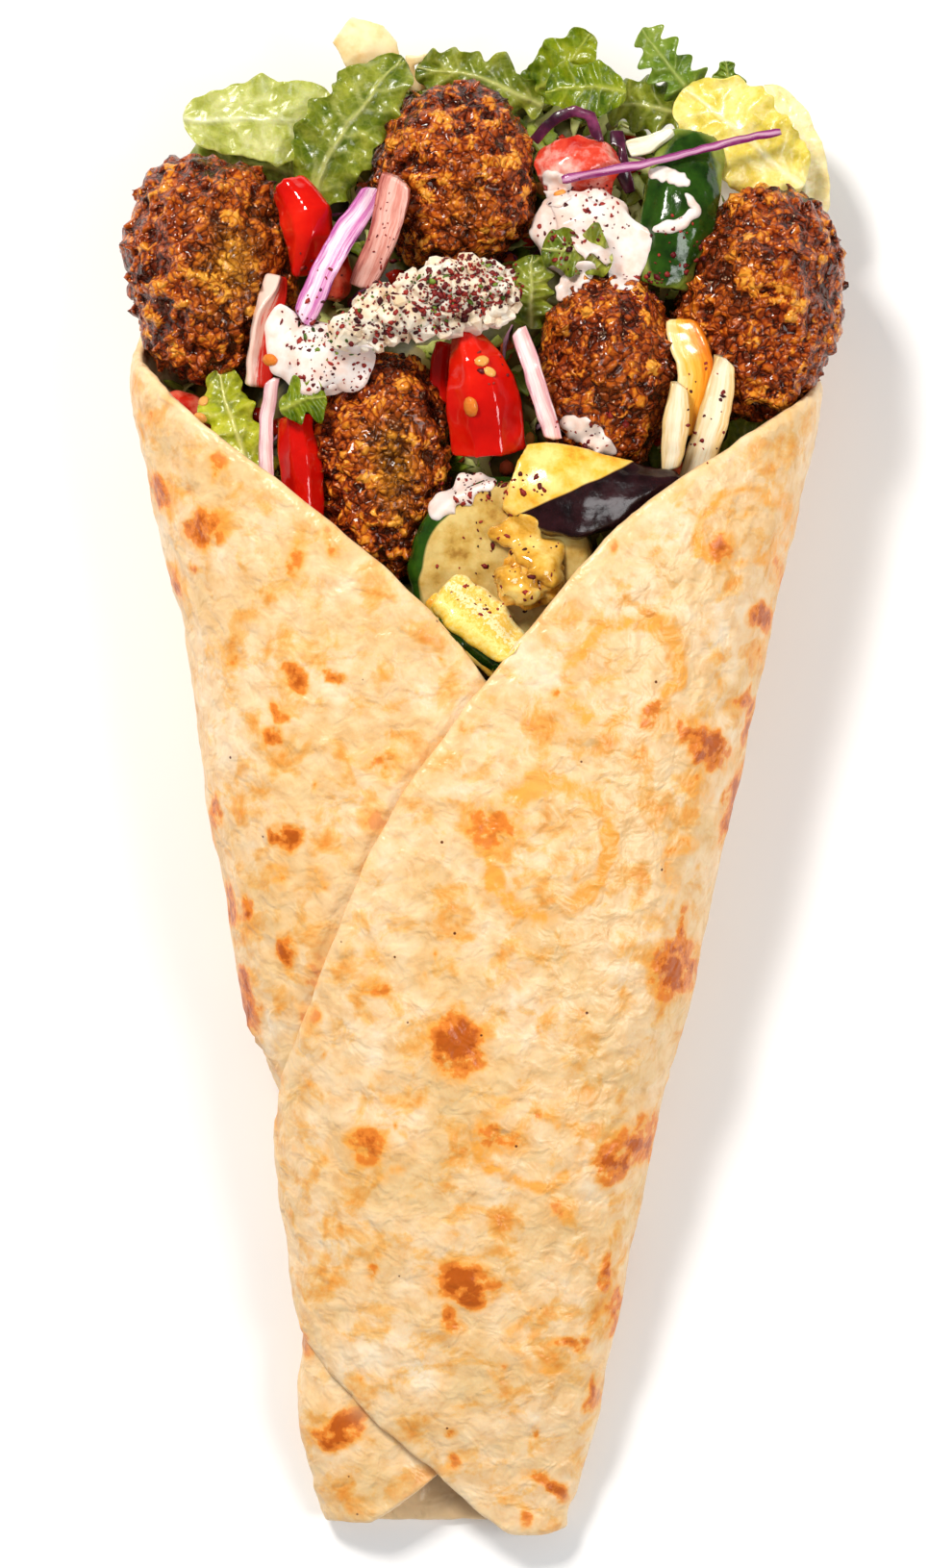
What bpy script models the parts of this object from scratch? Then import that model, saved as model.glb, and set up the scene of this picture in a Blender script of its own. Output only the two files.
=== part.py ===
"""A falafel wrap that lies on its back: a round flatbread rolled into a tapering cone, with its two
flaps crossing on top, and a salad filling that swells out of the open mouth.

+Y runs from the tip to the mouth, +Z is up, and the flat back rests on Z = 0. Lengths below are in
millimetres, and new_piece() turns them into metres.
"""

import math

import bmesh
import bpy
import numpy as np
from mathutils import Matrix, Vector, noise

MM = 0.001

# Flatbread. Each station is y, the left edge's x, the right edge's x and the height over the table.
BREAD_THICKNESS = 2.2
LAYER_GAP = 0.9
BREAD_STATIONS = (
    (-143, -30.2, 16.5, 9.5),
    (-132, -33.6, 19.6, 13),
    (-122, -35.5, 21.8, 17.5),
    (-108, -36.3, 25.2, 22.5),
    (-92, -37.4, 28.4, 27.5),
    (-78, -39.8, 30.6, 31.5),
    (-68, -40.2, 32.6, 34.5),
    (-60, -40.6, 34.4, 36.5),
    (-52, -42.9, 36.6, 38.5),
    (-42, -45.9, 39.6, 41),
    (-30, -48.2, 42.4, 43.5),
    (-12, -51.1, 46.3, 46.5),
    (0, -53.2, 48.6, 48.5),
    (21, -55.3, 52.4, 51),
    (35, -58.9, 55.7, 52.2),
    (48, -61.9, 59, 53),
    (58, -64, 61.2, 53.6),
    (70, -66, 63.5, 54),
    (80, -66.4, 64, 54),
    (126, -66.4, 64, 54),
)
SIDE_HEIGHT = 0.4  # height of the widest line, as a share of the station's height
ROUNDNESS = 2.4  # exponent of the section's curve: 2 is an ellipse, and more is squarer
FLAT_BACK = 1.07  # how far the curve of the back is pushed into the table and cut flat
BACK_ARCH = 0.12  # how far the middle of the back stands clear, so that its four corners carry it
BACK_RESTS = (-136.5, 109)  # y of those corners

# Edges of the flaps, as y and x. Beyond the corners of the mouth they run on along the back panel.
LEFT_CORNER_Y, RIGHT_CORNER_Y = 80, 74.5
OUTER_FLAP_EDGE = (
    (-141, 4.6),
    (-138.7, 1.7),
    (-131.3, -8.4),
    (-124.8, -16.1),
    (-119.5, -23),
    (-113.4, -28.6),
    (-107.4, -32.2),
    (-101.4, -35.4),
    (-92, -37.4),
    (-78, -39.8),
    (-68, -40.2),
    (-60, -39.2),
    (-53.7, -37.2),
    (-46.7, -34.2),
    (-30.2, -28.4),
    (-14.8, -21.7),
    (-4.8, -17),
    (3.3, -11.2),
    (10.8, -5.4),
    (19, 1),
    (30, 10),
    (40, 18),
    (48, 25.5),
    (54, 34),
    (60, 43.5),
    (67, 54.5),
    (74.5, 63.6),
)
INNER_FLAP_EDGE = (
    (-141, -20.5),
    (-138.8, -18.5),
    (-131, -6.5),
    (-110, 4),
    (-80, 12),
    (-40, 16),
    (0, 11),
    (19, 1),
    (34, -13),
    (42, -21),
    (50, -31),
    (57, -40),
    (64, -49.5),
    (72, -58.8),
    (80, -66),
)
BACK_LEFT_RIM = ((80, -66), (94, -60), (108, -48), (118, -32), (124, -12))
BACK_RIGHT_RIM = ((74.5, 63.6), (92, 59), (107, 48), (118, 33), (124, 14))
BREAD_ROWS = (
    -141, -136.5, -130.5, -122.5, -113, -101, -88, -74, -61, -48, -34, -20, -6, 7, 19,
    29, 39, 49, 58, 65, 70, 73, 74.5, 77.5, 80, 93, 109, 124,
)
BREAD_COLUMNS = 31
TUCK_TURN = 0.55  # radians over which the inner flap dives under the outer one
UNDERSIDE_TURN = 1.6 * math.pi  # past this turn the sheet is its own outer layer
TIP_CORNER_DROP = 2.5  # how far the outer flap's corner hangs past the tip's other layers
TIP_CORNER_SHARES = (1.0, 0.6, 0.25)  # share of that drop in the rows nearest the tip
TIP_CORNER_START, TIP_CORNER_FADE = 0.72, 0.2  # where the corner starts, as shares of the girth
GIRTH_SAMPLES = 6  # samples of the section's curve for each column of the mesh

# Salad bed. Each station is y, half width, height, for the heap that the larger pieces lie in.
BED_STATIONS = (
    (-104, 20, 11),
    (-92, 24, 17),
    (-66, 29, 25),
    (-30, 37, 34.5),
    (5, 44, 41),
    (24, 47, 40),
    (45, 53, 33),
    (65, 56, 29),
    (88, 55, 25),
    (105, 47, 22),
    (120, 35, 17),
    (130, 23, 12),
)
BED_FLOOR = BREAD_THICKNESS + 0.6
BED_ROWS, BED_COLUMNS = 14, 16
BED_SIDE = 0.42  # height of the bed's widest line, as a share of its height
BED_LUMPS, BED_LUMP_SCALE = 1.6, 0.12  # height of the lumps on top, and their frequency per millimetre

CLEARANCE = 0.38  # gap that a piece keeps to the one that it lies against
SHARPEST_CORNER = 3.0  # limit on how far a fattened copy's corner moves, in clearances


# ---- helpers ----


def material(name, colour, roughness):
    """A Principled material of that name, made once."""
    made = bpy.data.materials.get(name)
    if made is None:
        made = bpy.data.materials.new(name)
        made.use_nodes = True
        shader = made.node_tree.nodes["Principled BSDF"]
        shader.inputs["Base Color"].default_value = (*colour, 1)
        shader.inputs["Roughness"].default_value = roughness
        shader.inputs["Metallic"].default_value = 0
    return made


BREAD = ("baked_flatbread", (0.82, 0.62, 0.38), 0.75)
CRUST = ("fried_falafel_crust", (0.17, 0.05, 0.018), 0.5)
LETTUCE = ("lettuce", (0.25, 0.42, 0.06), 0.45)
PALE_LEAF = ("pale_lettuce_rib", (0.85, 0.78, 0.45), 0.45)
DARK_LEAF = ("dark_green_leaf", (0.06, 0.22, 0.02), 0.4)
RED_PEPPER = ("red_pepper", (0.7, 0.02, 0.01), 0.25)
TOMATO = ("tomato", (0.6, 0.04, 0.015), 0.25)
YELLOW_PEPPER = ("yellow_pepper", (0.85, 0.45, 0.03), 0.25)
ONION = ("onion", (0.8, 0.6, 0.6), 0.35)
RED_CABBAGE = ("red_cabbage", (0.3, 0.04, 0.18), 0.35)
CUCUMBER = ("cucumber", (0.05, 0.17, 0.02), 0.3)
COURGETTE = ("grilled_courgette", (0.7, 0.55, 0.12), 0.4)
AUBERGINE = ("roast_aubergine", (0.06, 0.01, 0.03), 0.2)
YOGURT = ("yogurt_sauce", (0.9, 0.86, 0.8), 0.35)
FETA = ("crumbled_feta", (0.88, 0.82, 0.7), 0.6)
SALAD = ("mixed_salad", (0.2, 0.3, 0.06), 0.5)


def smooth_at(table, y):
    """The values of a table at y, on a smooth curve through its rows, whose first column is y."""
    rows = np.array(table, float)
    ys, values = rows[:, 0], rows[:, 1:]
    slopes = np.gradient(values, ys, axis=0)
    y = min(max(y, ys[0]), ys[-1])
    i = min(int(np.searchsorted(ys, y, "right")) - 1, len(ys) - 2)
    span = ys[i + 1] - ys[i]
    t = (y - ys[i]) / span
    start = (2 * t**3 - 3 * t**2 + 1) * values[i] + (t**3 - 2 * t**2 + t) * span * slopes[i]
    end = (3 * t**2 - 2 * t**3) * values[i + 1] + (t**3 - t**2) * span * slopes[i + 1]
    return start + end


def smoothstep(t):
    t = min(max(t, 0.0), 1.0)
    return t * t * (3 - 2 * t)


def new_piece(name, points, faces, look):
    """A closed mesh object from points in millimetres, with its faces turned outwards."""
    mesh = bpy.data.meshes.new(name)
    mesh.from_pydata([Vector(p) * MM for p in points], [], faces)
    form = bmesh.new()
    form.from_mesh(mesh)
    bmesh.ops.recalc_face_normals(form, faces=form.faces)
    bmesh.ops.triangulate(form, faces=form.faces)
    form.to_mesh(mesh)
    form.free()
    mesh.shade_smooth()
    mesh.materials.append(material(*look))
    piece = bpy.data.objects.new(name, mesh)
    bpy.context.scene.collection.objects.link(piece)
    return piece


def ring_faces(rings, sides):
    """Quads between rings of points in order, with a cap at each end."""
    faces = []
    for r in range(rings - 1):
        for s in range(sides):
            n = (s + 1) % sides
            faces.append((r * sides + s, r * sides + n, (r + 1) * sides + n, (r + 1) * sides + s))
    faces.append(tuple(range(sides)))
    faces.append(tuple((rings - 1) * sides + s for s in reversed(range(sides))))
    return faces


def through(points, count):
    """Points at even steps on a smooth curve through the given ones."""
    points = [Vector(p) for p in points]
    if len(points) == 2:
        points.insert(1, (points[0] + points[1]) / 2)
    table = [(i, *p) for i, p in enumerate(points)]
    last = len(points) - 1
    return [Vector(smooth_at(table, last * k / (count - 1))) for k in range(count)]


# ---- flatbread ----


def bread_frame(y):
    left, right, height = smooth_at(BREAD_STATIONS, y)
    return (right + left) / 2, (right - left) / 2, height


def back_arch(y, share):
    """How far the flat back stands clear of the table, at a share of the way from its middle line to
    the flat's edge."""
    first, last = BACK_RESTS
    along = (2 * y - first - last) / (last - first)
    return BACK_ARCH * (max(0.0, 1 - share**2) + abs(1 - along**2)) / 2


def bread_point(y, turn, lift):
    """A point of the bread's middle surface. turn runs from 0 at the right side, over the top, to pi at
    the left side, and on under the back. lift moves the point out of the section's curve."""
    middle, half, height = bread_frame(y)
    side = height * SIDE_HEIGHT
    power = 2 / ROUNDNESS
    across, rise = math.cos(turn), math.sin(turn)
    x = middle + (half - BREAD_THICKNESS / 2 + lift) * math.copysign(abs(across) ** power, across)
    if rise >= 0:
        z = side + (height - side - BREAD_THICKNESS / 2 + lift) * rise**power
    else:
        z = side - (side - BREAD_THICKNESS / 2) * min(1.0, FLAT_BACK * abs(rise) ** power)
        flat_edge = math.sqrt(1 - FLAT_BACK ** (-2 / power))
        z += abs(rise) * back_arch(y, (abs(across) / flat_edge) ** power)
    return Vector((x, y, z))


def turn_at(y, x, beneath=False):
    """The turn at which the section at y has that x, on the top or beneath."""
    middle, half, _ = bread_frame(y)
    share = (x - middle) / (half - BREAD_THICKNESS / 2)
    share = min(max(share, -1.0), 1.0)
    turn = math.acos(math.copysign(abs(share) ** (ROUNDNESS / 2), share))
    return 2 * math.pi - turn if beneath else turn


def inner_edge_turn(y):
    if y < LEFT_CORNER_Y:
        return turn_at(y, smooth_at(INNER_FLAP_EDGE, y)[0])
    return turn_at(y, smooth_at(BACK_LEFT_RIM, y)[0], beneath=True)


def outer_edge_turn(y):
    if y < RIGHT_CORNER_Y:
        return 2 * math.pi + turn_at(y, smooth_at(OUTER_FLAP_EDGE, y)[0])
    return turn_at(y, smooth_at(BACK_RIGHT_RIM, y)[0], beneath=True)


def tuck(y, turn):
    """How far the inner flap lies below the outer one, at a turn counted from the inner edge."""
    cover = outer_edge_turn(y) - 2 * math.pi
    share = 1 - smoothstep((turn - cover) / TUCK_TURN)
    return -(BREAD_THICKNESS + LAYER_GAP) * share


def bread_row(y, columns):
    """Points at even steps round the girth, from the inner flap's edge to the outer flap's edge."""
    first, last = inner_edge_turn(y), outer_edge_turn(y)
    turns = np.linspace(first, last, GIRTH_SAMPLES * columns)
    points = [bread_point(y, t, tuck(y, t) if t < UNDERSIDE_TURN else 0.0) for t in turns]
    steps = [0.0] + [(b - a).length for a, b in zip(points, points[1:])]
    along = np.cumsum(steps)
    even = np.linspace(0, along[-1], columns)
    return np.array([[np.interp(e, along, [p[i] for p in points]) for i in range(3)] for e in even])


def make_flatbread():
    rows = [bread_row(y, BREAD_COLUMNS) for y in BREAD_ROWS]
    for row, share in zip(rows, TIP_CORNER_SHARES):
        for c in range(BREAD_COLUMNS):
            round_girth = c / (BREAD_COLUMNS - 1)
            near_edge = smoothstep((round_girth - TIP_CORNER_START) / TIP_CORNER_FADE)
            row[c][1] -= TIP_CORNER_DROP * near_edge * share
    points = np.concatenate(rows)
    wide = BREAD_COLUMNS
    faces = [
        (r * wide + c, r * wide + c + 1, (r + 1) * wide + c + 1, (r + 1) * wide + c)
        for r in range(len(rows) - 1)
        for c in range(wide - 1)
    ]
    bread = new_piece("flatbread", points, faces, BREAD)
    solid = bread.modifiers.new("thickness", "SOLIDIFY")
    solid.thickness = BREAD_THICKNESS * MM
    solid.offset = 0
    return bread


# ---- filling ----


def make_salad_bed():
    """The heap of cut salad that fills the cone and swells out of its mouth."""
    first, last = BED_STATIONS[0][0], BED_STATIONS[-1][0]
    points = []
    for r in range(BED_ROWS):
        y = first + (last - first) * r / (BED_ROWS - 1)
        half, height = smooth_at(BED_STATIONS, y)
        middle = bread_frame(y)[0]
        side = BED_FLOOR + BED_SIDE * (height - BED_FLOOR)
        for s in range(BED_COLUMNS):
            turn = 2 * math.pi * s / BED_COLUMNS
            across, rise = math.cos(turn), math.sin(turn)
            power = 2 / ROUNDNESS
            x = middle + half * math.copysign(abs(across) ** power, across)
            reach = (height - side) if rise > 0 else (side - BED_FLOOR)
            z = side + reach * math.copysign(abs(rise) ** power, rise)
            if rise > 0 and y > 0:
                z += rise * BED_LUMPS * noise.noise(Vector((x, y, 0)) * BED_LUMP_SCALE)
            points.append((x, y, z))
    return new_piece("salad_bed", points, ring_faces(BED_ROWS, BED_COLUMNS), SALAD)


def turned(yaw, pitch, roll):
    """Rotation by yaw about Z, pitch about the turned X and roll about the turned Y, in degrees."""
    parts = ((yaw, "Z"), (pitch, "X"), (roll, "Y"))
    result = Matrix.Identity(3)
    for angle, axis in parts:
        result = result @ Matrix.Rotation(math.radians(angle), 3, axis)
    return result


def ball(name, look, centre, size, yaw=0, taper=0.0, lumps=0.0, grain=0.1, detail=3):
    """An egg or a lump, longest along its own Y. taper narrows its -Y end, and lumps is the height of
    its unevenness."""
    form = bmesh.new()
    bmesh.ops.create_icosphere(form, subdivisions=detail, radius=1.0)
    shift = Vector(centre)
    rotation = turned(yaw, 0, 0)
    points = []
    for v in form.verts:
        p = Vector((v.co.x * size[0] / 2, v.co.y * size[1] / 2, v.co.z * size[2] / 2))
        narrow = 1 + taper * v.co.y
        p.x, p.z = p.x * narrow, p.z * narrow
        bump = lumps * noise.noise((p + shift) * grain)
        p += v.co.normalized() * bump
        points.append(shift + rotation @ p)
    faces = [tuple(v.index for v in f.verts) for f in form.faces]
    form.free()
    return new_piece(name, points, faces, look)


def slab(name, look, spine, widths, thickness, bow=0.0, roll=0.0, ruffle=0.0, waves=2.0,
         stations=6, across=4, edge=0.45):
    """A strip, chunk or leaf: a flat section swept along a smooth spine. widths are read evenly along
    the spine. bow lifts the middle line over the edges, roll turns the section about the spine, in
    degrees, ruffle is the height of the waves along the edges and edge is the edges' share of the
    thickness."""
    line = through(spine, stations)
    width_table = [(i, w) for i, w in enumerate(widths)]
    thick_ends = thickness if isinstance(thickness, tuple) else (thickness, thickness)
    points = []
    for k, centre in enumerate(line):
        share = k / (stations - 1)
        ahead = line[min(k + 1, stations - 1)] - line[max(k - 1, 0)]
        ahead.normalize()
        side = ahead.cross(Vector((0, 0, 1))).normalized()
        side = Matrix.Rotation(math.radians(roll), 3, ahead) @ side
        up = side.cross(ahead)
        width = smooth_at(width_table, share * (len(widths) - 1))[0]
        thick = thick_ends[0] + (thick_ends[1] - thick_ends[0]) * share
        rims = [-1 + 2 * j / (across - 1) for j in range(across)]
        wave = [math.sin(2 * math.pi * (waves * share + 0.25 * s)) for s in (0, 1)]
        upper, lower = [], []
        for v in rims:
            lift = bow * (1 - v * v) + ruffle * abs(v) ** 1.5 * wave[v > 0]
            here = centre + side * (v * width / 2) + up * lift
            half = thick / 2 * (1 - (1 - edge) * abs(v) ** 3)
            upper.append(here + up * half)
            lower.append(here - up * half)
        points += upper + lower[::-1]
    return new_piece(name, points, ring_faces(stations, 2 * across), look)


def make_falafels():
    """Five oval balls, as uneven as shaped by hand."""
    return [
        ball("falafel_left", CRUST, (-51, 94, 25), (31, 44, 29), yaw=4, taper=0.10, lumps=2.2),
        ball("falafel_top", CRUST, (-5.5, 112, 24), (30.5, 36, 29), yaw=-3, taper=0.02, lumps=2.0),
        ball("falafel_right", CRUST, (51.5, 87.5, 27.5), (29, 46, 28), yaw=-12, taper=0.08, lumps=2.4),
        ball("falafel_middle", CRUST, (23, 76, 33), (25, 35.5, 26), yaw=-4, taper=-0.03, lumps=1.8),
        ball("falafel_low", CRUST, (-19, 58.5, 31), (25, 44, 26), yaw=2, taper=0.05, lumps=2.6),
    ]


def make_peppers_and_tomatoes():
    return [
        slab("pepper_red_tall", RED_PEPPER, ((-3.5, 82, 40), (-0.5, 73, 43), (1, 60.5, 40)),
             (5, 13, 14), (4, 5), bow=3, across=4, stations=7),
        slab("pepper_red_dark", RED_PEPPER, ((-7, 81, 35), (-8, 74, 35), (-6.5, 66, 34)),
             (3.5, 5, 3), 3, roll=-25, across=3, stations=5),
        slab("pepper_red_left", RED_PEPPER, ((-36, 110, 33), (-32.5, 103, 36), (-34, 94, 33)),
             (7, 10, 3.5), (5, 4), bow=1.5, roll=15, stations=6),
        slab("pepper_red_pale", RED_PEPPER, ((-39, 93, 35), (-40.5, 83.5, 37), (-42, 73, 35)),
             (3, 5.5, 4.5), 3.5, bow=0.8, roll=-10, across=3, stations=6),
        slab("pepper_red_low", RED_PEPPER, ((-35, 67, 37), (-33.8, 58, 38), (-33, 46, 36)),
             (6.5, 8.5, 6.5), 4, bow=2, across=4, stations=6),
        ball("tomato_left", TOMATO, (-55.5, 69, 26), (8, 12, 9), yaw=58, lumps=1.5, detail=2),
        slab("tomato_back", TOMATO, ((11, 113.5, 26), (17.5, 114, 29), (24, 113, 27)),
             (8, 12, 9), 5, bow=2, across=4, stations=5),
        ball("tomato_middle", TOMATO, (-28, 95, 26), (8, 13, 9), yaw=10, lumps=1.5, detail=2),
        slab("pepper_yellow", YELLOW_PEPPER, ((35.5, 84, 37), (39.5, 78.5, 40), (39, 71, 40),
             (37.5, 64, 38)), (3.5, 5.5, 5.5, 4), 2.8, bow=1, across=3, stations=7),
    ]


def make_onion_and_cabbage():
    return [
        slab("onion_arc", ONION, ((-33.5, 84, 42), (-30.5, 91.5, 43), (-27, 98.5, 42), (-20, 109, 38)),
             (3.2, 3.8, 3.8, 3.4), 2, across=3, stations=7, edge=0.7),
        slab("onion_piece", ONION, ((-16, 111, 41), (-18, 101.5, 41), (-22.5, 91.5, 36)),
             (5.2, 4.6, 3.8), 2, bow=0.8, across=3, stations=6, edge=0.7),
        slab("onion_white", ONION, ((6.5, 83, 44), (10, 72, 46.5), (13, 62.5, 43)),
             (3.2, 3.4, 3.4), 2, across=3, stations=6, edge=0.7),
        slab("onion_clear", ONION, ((43.8, 78, 40), (42.8, 67.5, 41), (38.5, 54.5, 36.5)),
             (3.6, 5.4, 4.6), 1.8, bow=1, across=3, stations=7, edge=0.6),
        slab("onion_clear_inner", ONION, ((36, 73, 43), (35.5, 65.5, 43), (34.5, 57, 40)),
             (2, 4.6, 2.6), 1.6, bow=0.6, across=3, stations=6, edge=0.6),
        slab("onion_thin", ONION, ((-38.5, 74, 40), (-40.5, 66, 40), (-40, 54, 38)),
             (2, 2.4, 2.4), 1.6, across=3, stations=6, edge=0.7),
        slab("cabbage_thread", RED_CABBAGE, ((14.5, 111.5, 33), (27.5, 113.5, 35), (41.5, 117, 34.5),
             (55.5, 120.5, 31)), (1.4, 1.7, 1.7, 1.3), 1.2, across=3, stations=7, edge=0.8),
        slab("cabbage_loop", RED_CABBAGE, ((9.5, 119, 27), (14, 123.5, 29), (20, 123.5, 30),
             (22.5, 113, 29)), (2, 2.2, 2.2, 2), 1.6, across=3, stations=7, edge=0.7),
        slab("cabbage_dark", RED_CABBAGE, ((25, 121, 26), (25.5, 115, 28), (27.5, 109.5, 26)),
             (2.6, 3.2, 2), 1.6, across=3, stations=5, edge=0.7),
        slab("cabbage_white", ONION, ((27.5, 117.5, 29), (35.5, 119, 30.5), (44.5, 119.7, 29)),
             (3.4, 3.4, 2.8), 1.4, across=3, stations=6, edge=0.7),
    ]


def courgette_slice():
    """A thick round slice with the corners of its peel eased, tilted so that its far side is up."""
    radius, thickness, sides = 17.5, 7.0, 18
    rotation = turned(0, 12, -8)
    centre = Vector((3.5, 38.5, 39))
    rings = (
        (radius - 1.0, -thickness / 2),
        (radius, -thickness / 2 + 1.2),
        (radius, thickness / 2 - 1.2),
        (radius - 1.0, thickness / 2),
    )
    points = [
        centre + rotation @ Vector((r * math.cos(a), r * math.sin(a), z))
        for r, z in rings
        for a in (2 * math.pi * s / sides for s in range(sides))
    ]
    return new_piece("courgette_slice", points, ring_faces(len(rings), sides), COURGETTE)


def make_roast_and_raw_vegetables():
    return [
        slab("aubergine", AUBERGINE, ((6, 55.5, 45), (17.5, 52.5, 46.5), (36, 54.5, 41)),
             (13, 17, 4), (8, 4), bow=0.8, roll=-6, across=4, stations=7, edge=0.6),
        slab("courgette_wedge", COURGETTE, ((-10, 33, 43.5), (-2.5, 27.5, 45), (5.5, 19.5, 43)),
             (4, 8.5, 7), (3, 4), bow=1, roll=6, across=4, stations=6),
        ball("courgette_fold", COURGETTE, (8.5, 36.5, 45.5), (13, 12, 7),
             yaw=35, lumps=1.6, grain=0.2, detail=2),
        courgette_slice(),
        slab("cucumber", CUCUMBER, ((39, 119, 27), (36.5, 105.5, 33), (33.5, 92, 31)),
             (13, 14, 12), (4, 5), bow=2.2, roll=-4, across=5, stations=6),
    ]


def make_sauces():
    return [
        ball("yogurt_left", YOGURT, (-30, 78, 41.5), (15.5, 14.5, 9),
             yaw=20, lumps=1.6, grain=0.15, detail=2),
        slab("feta", FETA, ((-25.5, 82, 44), (-15, 87, 45.5), (-5, 89, 45.5), (5.5, 89.5, 42)),
             (7, 10, 13, 9), (6, 6), bow=1.5, ruffle=0.8, across=4, stations=7),
        ball("yogurt_right", YOGURT, (19, 101.5, 30), (20, 19, 10),
             yaw=-20, lumps=1.8, grain=0.14, detail=2),
    ]


def make_leaves():
    return [
        slab("lettuce_left", LETTUCE, ((-55.5, 123.5, 22), (-43.5, 123, 27), (-28, 122.5, 26)),
             (5, 13, 13), 1.2, bow=1.5, ruffle=1.2, across=4, stations=6, edge=0.7),
        slab("lettuce_left_inner", LETTUCE, ((-15, 134, 24), (-22, 126, 28), (-29, 117, 29),
             (-30.5, 106.5, 26)), (4, 12, 12, 5), 1.2, bow=2, ruffle=1, across=4, stations=6, edge=0.7),
        slab("lettuce_behind_left", LETTUCE, ((-57, 113, 12), (-42, 116, 18), (-30, 109, 20)),
             (6, 12, 9), 1.2, bow=1.5, ruffle=1, across=4, stations=6, edge=0.7),
        slab("lettuce_top", LETTUCE, ((-12, 133, 15), (-2, 132, 20), (11, 126, 18)),
             (4, 7, 5), 1.2, bow=1.2, ruffle=1.2, waves=2.5, across=4, stations=6, edge=0.7),
        slab("spinach_back", DARK_LEAF, ((8, 129, 17), (14, 132.5, 21), (20.5, 139.5, 22)),
             (4, 9.5, 3), 1.1, bow=1, ruffle=0.6, across=4, stations=6, edge=0.7),
        slab("spinach_front", DARK_LEAF, ((12, 127.5, 26), (18.5, 129, 28), (26.5, 127.5, 26)),
             (3.5, 9.5, 2.5), 1.1, bow=1, ruffle=0.6, across=4, stations=6, edge=0.7),
        slab("rocket_leaf", DARK_LEAF, ((30, 140.5, 24), (34, 134, 24), (42, 126.5, 20)),
             (2.5, 6.5, 4), 1.1, bow=0.8, ruffle=0.5, waves=3, across=4, stations=6, edge=0.7),
        slab("rocket_tip", DARK_LEAF, ((45.3, 134.5, 22), (46.5, 127.5, 19)),
             (1.2, 4, 3.5), 1.1, bow=0.5, across=3, stations=5, edge=0.7),
        slab("lettuce_middle", LETTUCE, ((24, 126, 16), (31, 126.5, 20), (39, 124, 18)),
             (5, 8, 5), 1.2, bow=1, ruffle=1, across=4, stations=6, edge=0.7),
        slab("lettuce_yellow", LETTUCE, ((37.5, 128, 22), (48, 121, 27), (58, 109.5, 24)),
             (6, 16, 8), 1.2, bow=2.5, ruffle=1, across=4, stations=6, edge=0.7),
        slab("lettuce_cream", PALE_LEAF, ((52, 129.5, 15), (58, 119.5, 19), (61.5, 104.5, 16)),
             (4, 9.5, 6), 1.2, bow=2, ruffle=0.8, across=4, stations=6, edge=0.7),
        slab("pale_leaf_top", PALE_LEAF, ((-26.5, 140.5, 21), (-21.5, 136.5, 21), (-18, 129.5, 17)),
             (6, 11, 7), 1.1, bow=1, across=4, stations=6, edge=0.7),
        slab("pale_leaf_small", PALE_LEAF, ((-12.5, 136.3, 17), (-12, 130, 13)),
             (4.5, 5.5, 5), 1.1, bow=0.6, across=3, stations=4, edge=0.7),
        slab("lettuce_on_yogurt", LETTUCE, ((11.5, 97, 36.5), (17.5, 98, 39), (23, 95.5, 36.5)),
             (4, 7.5, 4), 1.4, bow=1.8, across=4, stations=6, edge=0.7),
        slab("lettuce_frill", LETTUCE, ((10, 96, 31), (8.5, 91, 34), (9, 84.5, 31)),
             (5, 8, 4), 1.6, bow=1.5, ruffle=1, across=4, stations=6, edge=0.7),
        slab("lettuce_low_left", LETTUCE, ((-49, 76, 30), (-47, 66.5, 34), (-41, 54.5, 33)),
             (4, 8, 5), 1.8, bow=1.6, ruffle=1, waves=3, across=4, stations=6, edge=0.7),
        slab("basil_bit", DARK_LEAF, ((-37, 67.5, 43), (-33, 70.5, 45), (-29.5, 68.5, 43)),
             (2.5, 6.5, 2.5), 1.2, bow=0.8, across=3, stations=5, edge=0.7),
        slab("lettuce_low_right", LETTUCE, ((55.5, 67.5, 24), (49.5, 63.5, 31), (42.5, 57, 31)),
             (4, 6, 3.5), 2, bow=1.5, ruffle=0.8, across=4, stations=6, edge=0.7),
    ]


# ---- fitting the pieces together ----


def box_of(piece):
    corners = np.array([v.co for v in piece.data.vertices])
    return corners.min(0), corners.max(0)


def boxes_touch(a, b):
    (low_a, high_a), (low_b, high_b) = box_of(a), box_of(b)
    return bool((low_a < high_b + CLEARANCE * MM).all() and (low_b < high_a + CLEARANCE * MM).all())


def settled(piece):
    """Replaces a piece's modifiers by the mesh that they make, less the crumbs that a cut left."""
    graph = bpy.context.evaluated_depsgraph_get()
    mesh = bpy.data.meshes.new_from_object(piece.evaluated_get(graph))
    piece.modifiers.clear()
    piece.data = mesh
    form = bmesh.new()
    form.from_mesh(mesh)
    left = set(form.verts)
    islands = []
    while left:
        island, todo = set(), [left.pop()]
        while todo:
            vert = todo.pop()
            island.add(vert)
            for e in vert.link_edges:
                other = e.other_vert(vert)
                if other in left:
                    left.discard(other)
                    todo.append(other)
        islands.append(island)
    islands.sort(key=len, reverse=True)
    for island in islands[1:]:
        bmesh.ops.delete(form, geom=list(island), context="VERTS")
    bmesh.ops.triangulate(form, faces=form.faces)
    form.to_mesh(mesh)
    form.free()
    mesh.shade_smooth()


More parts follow.
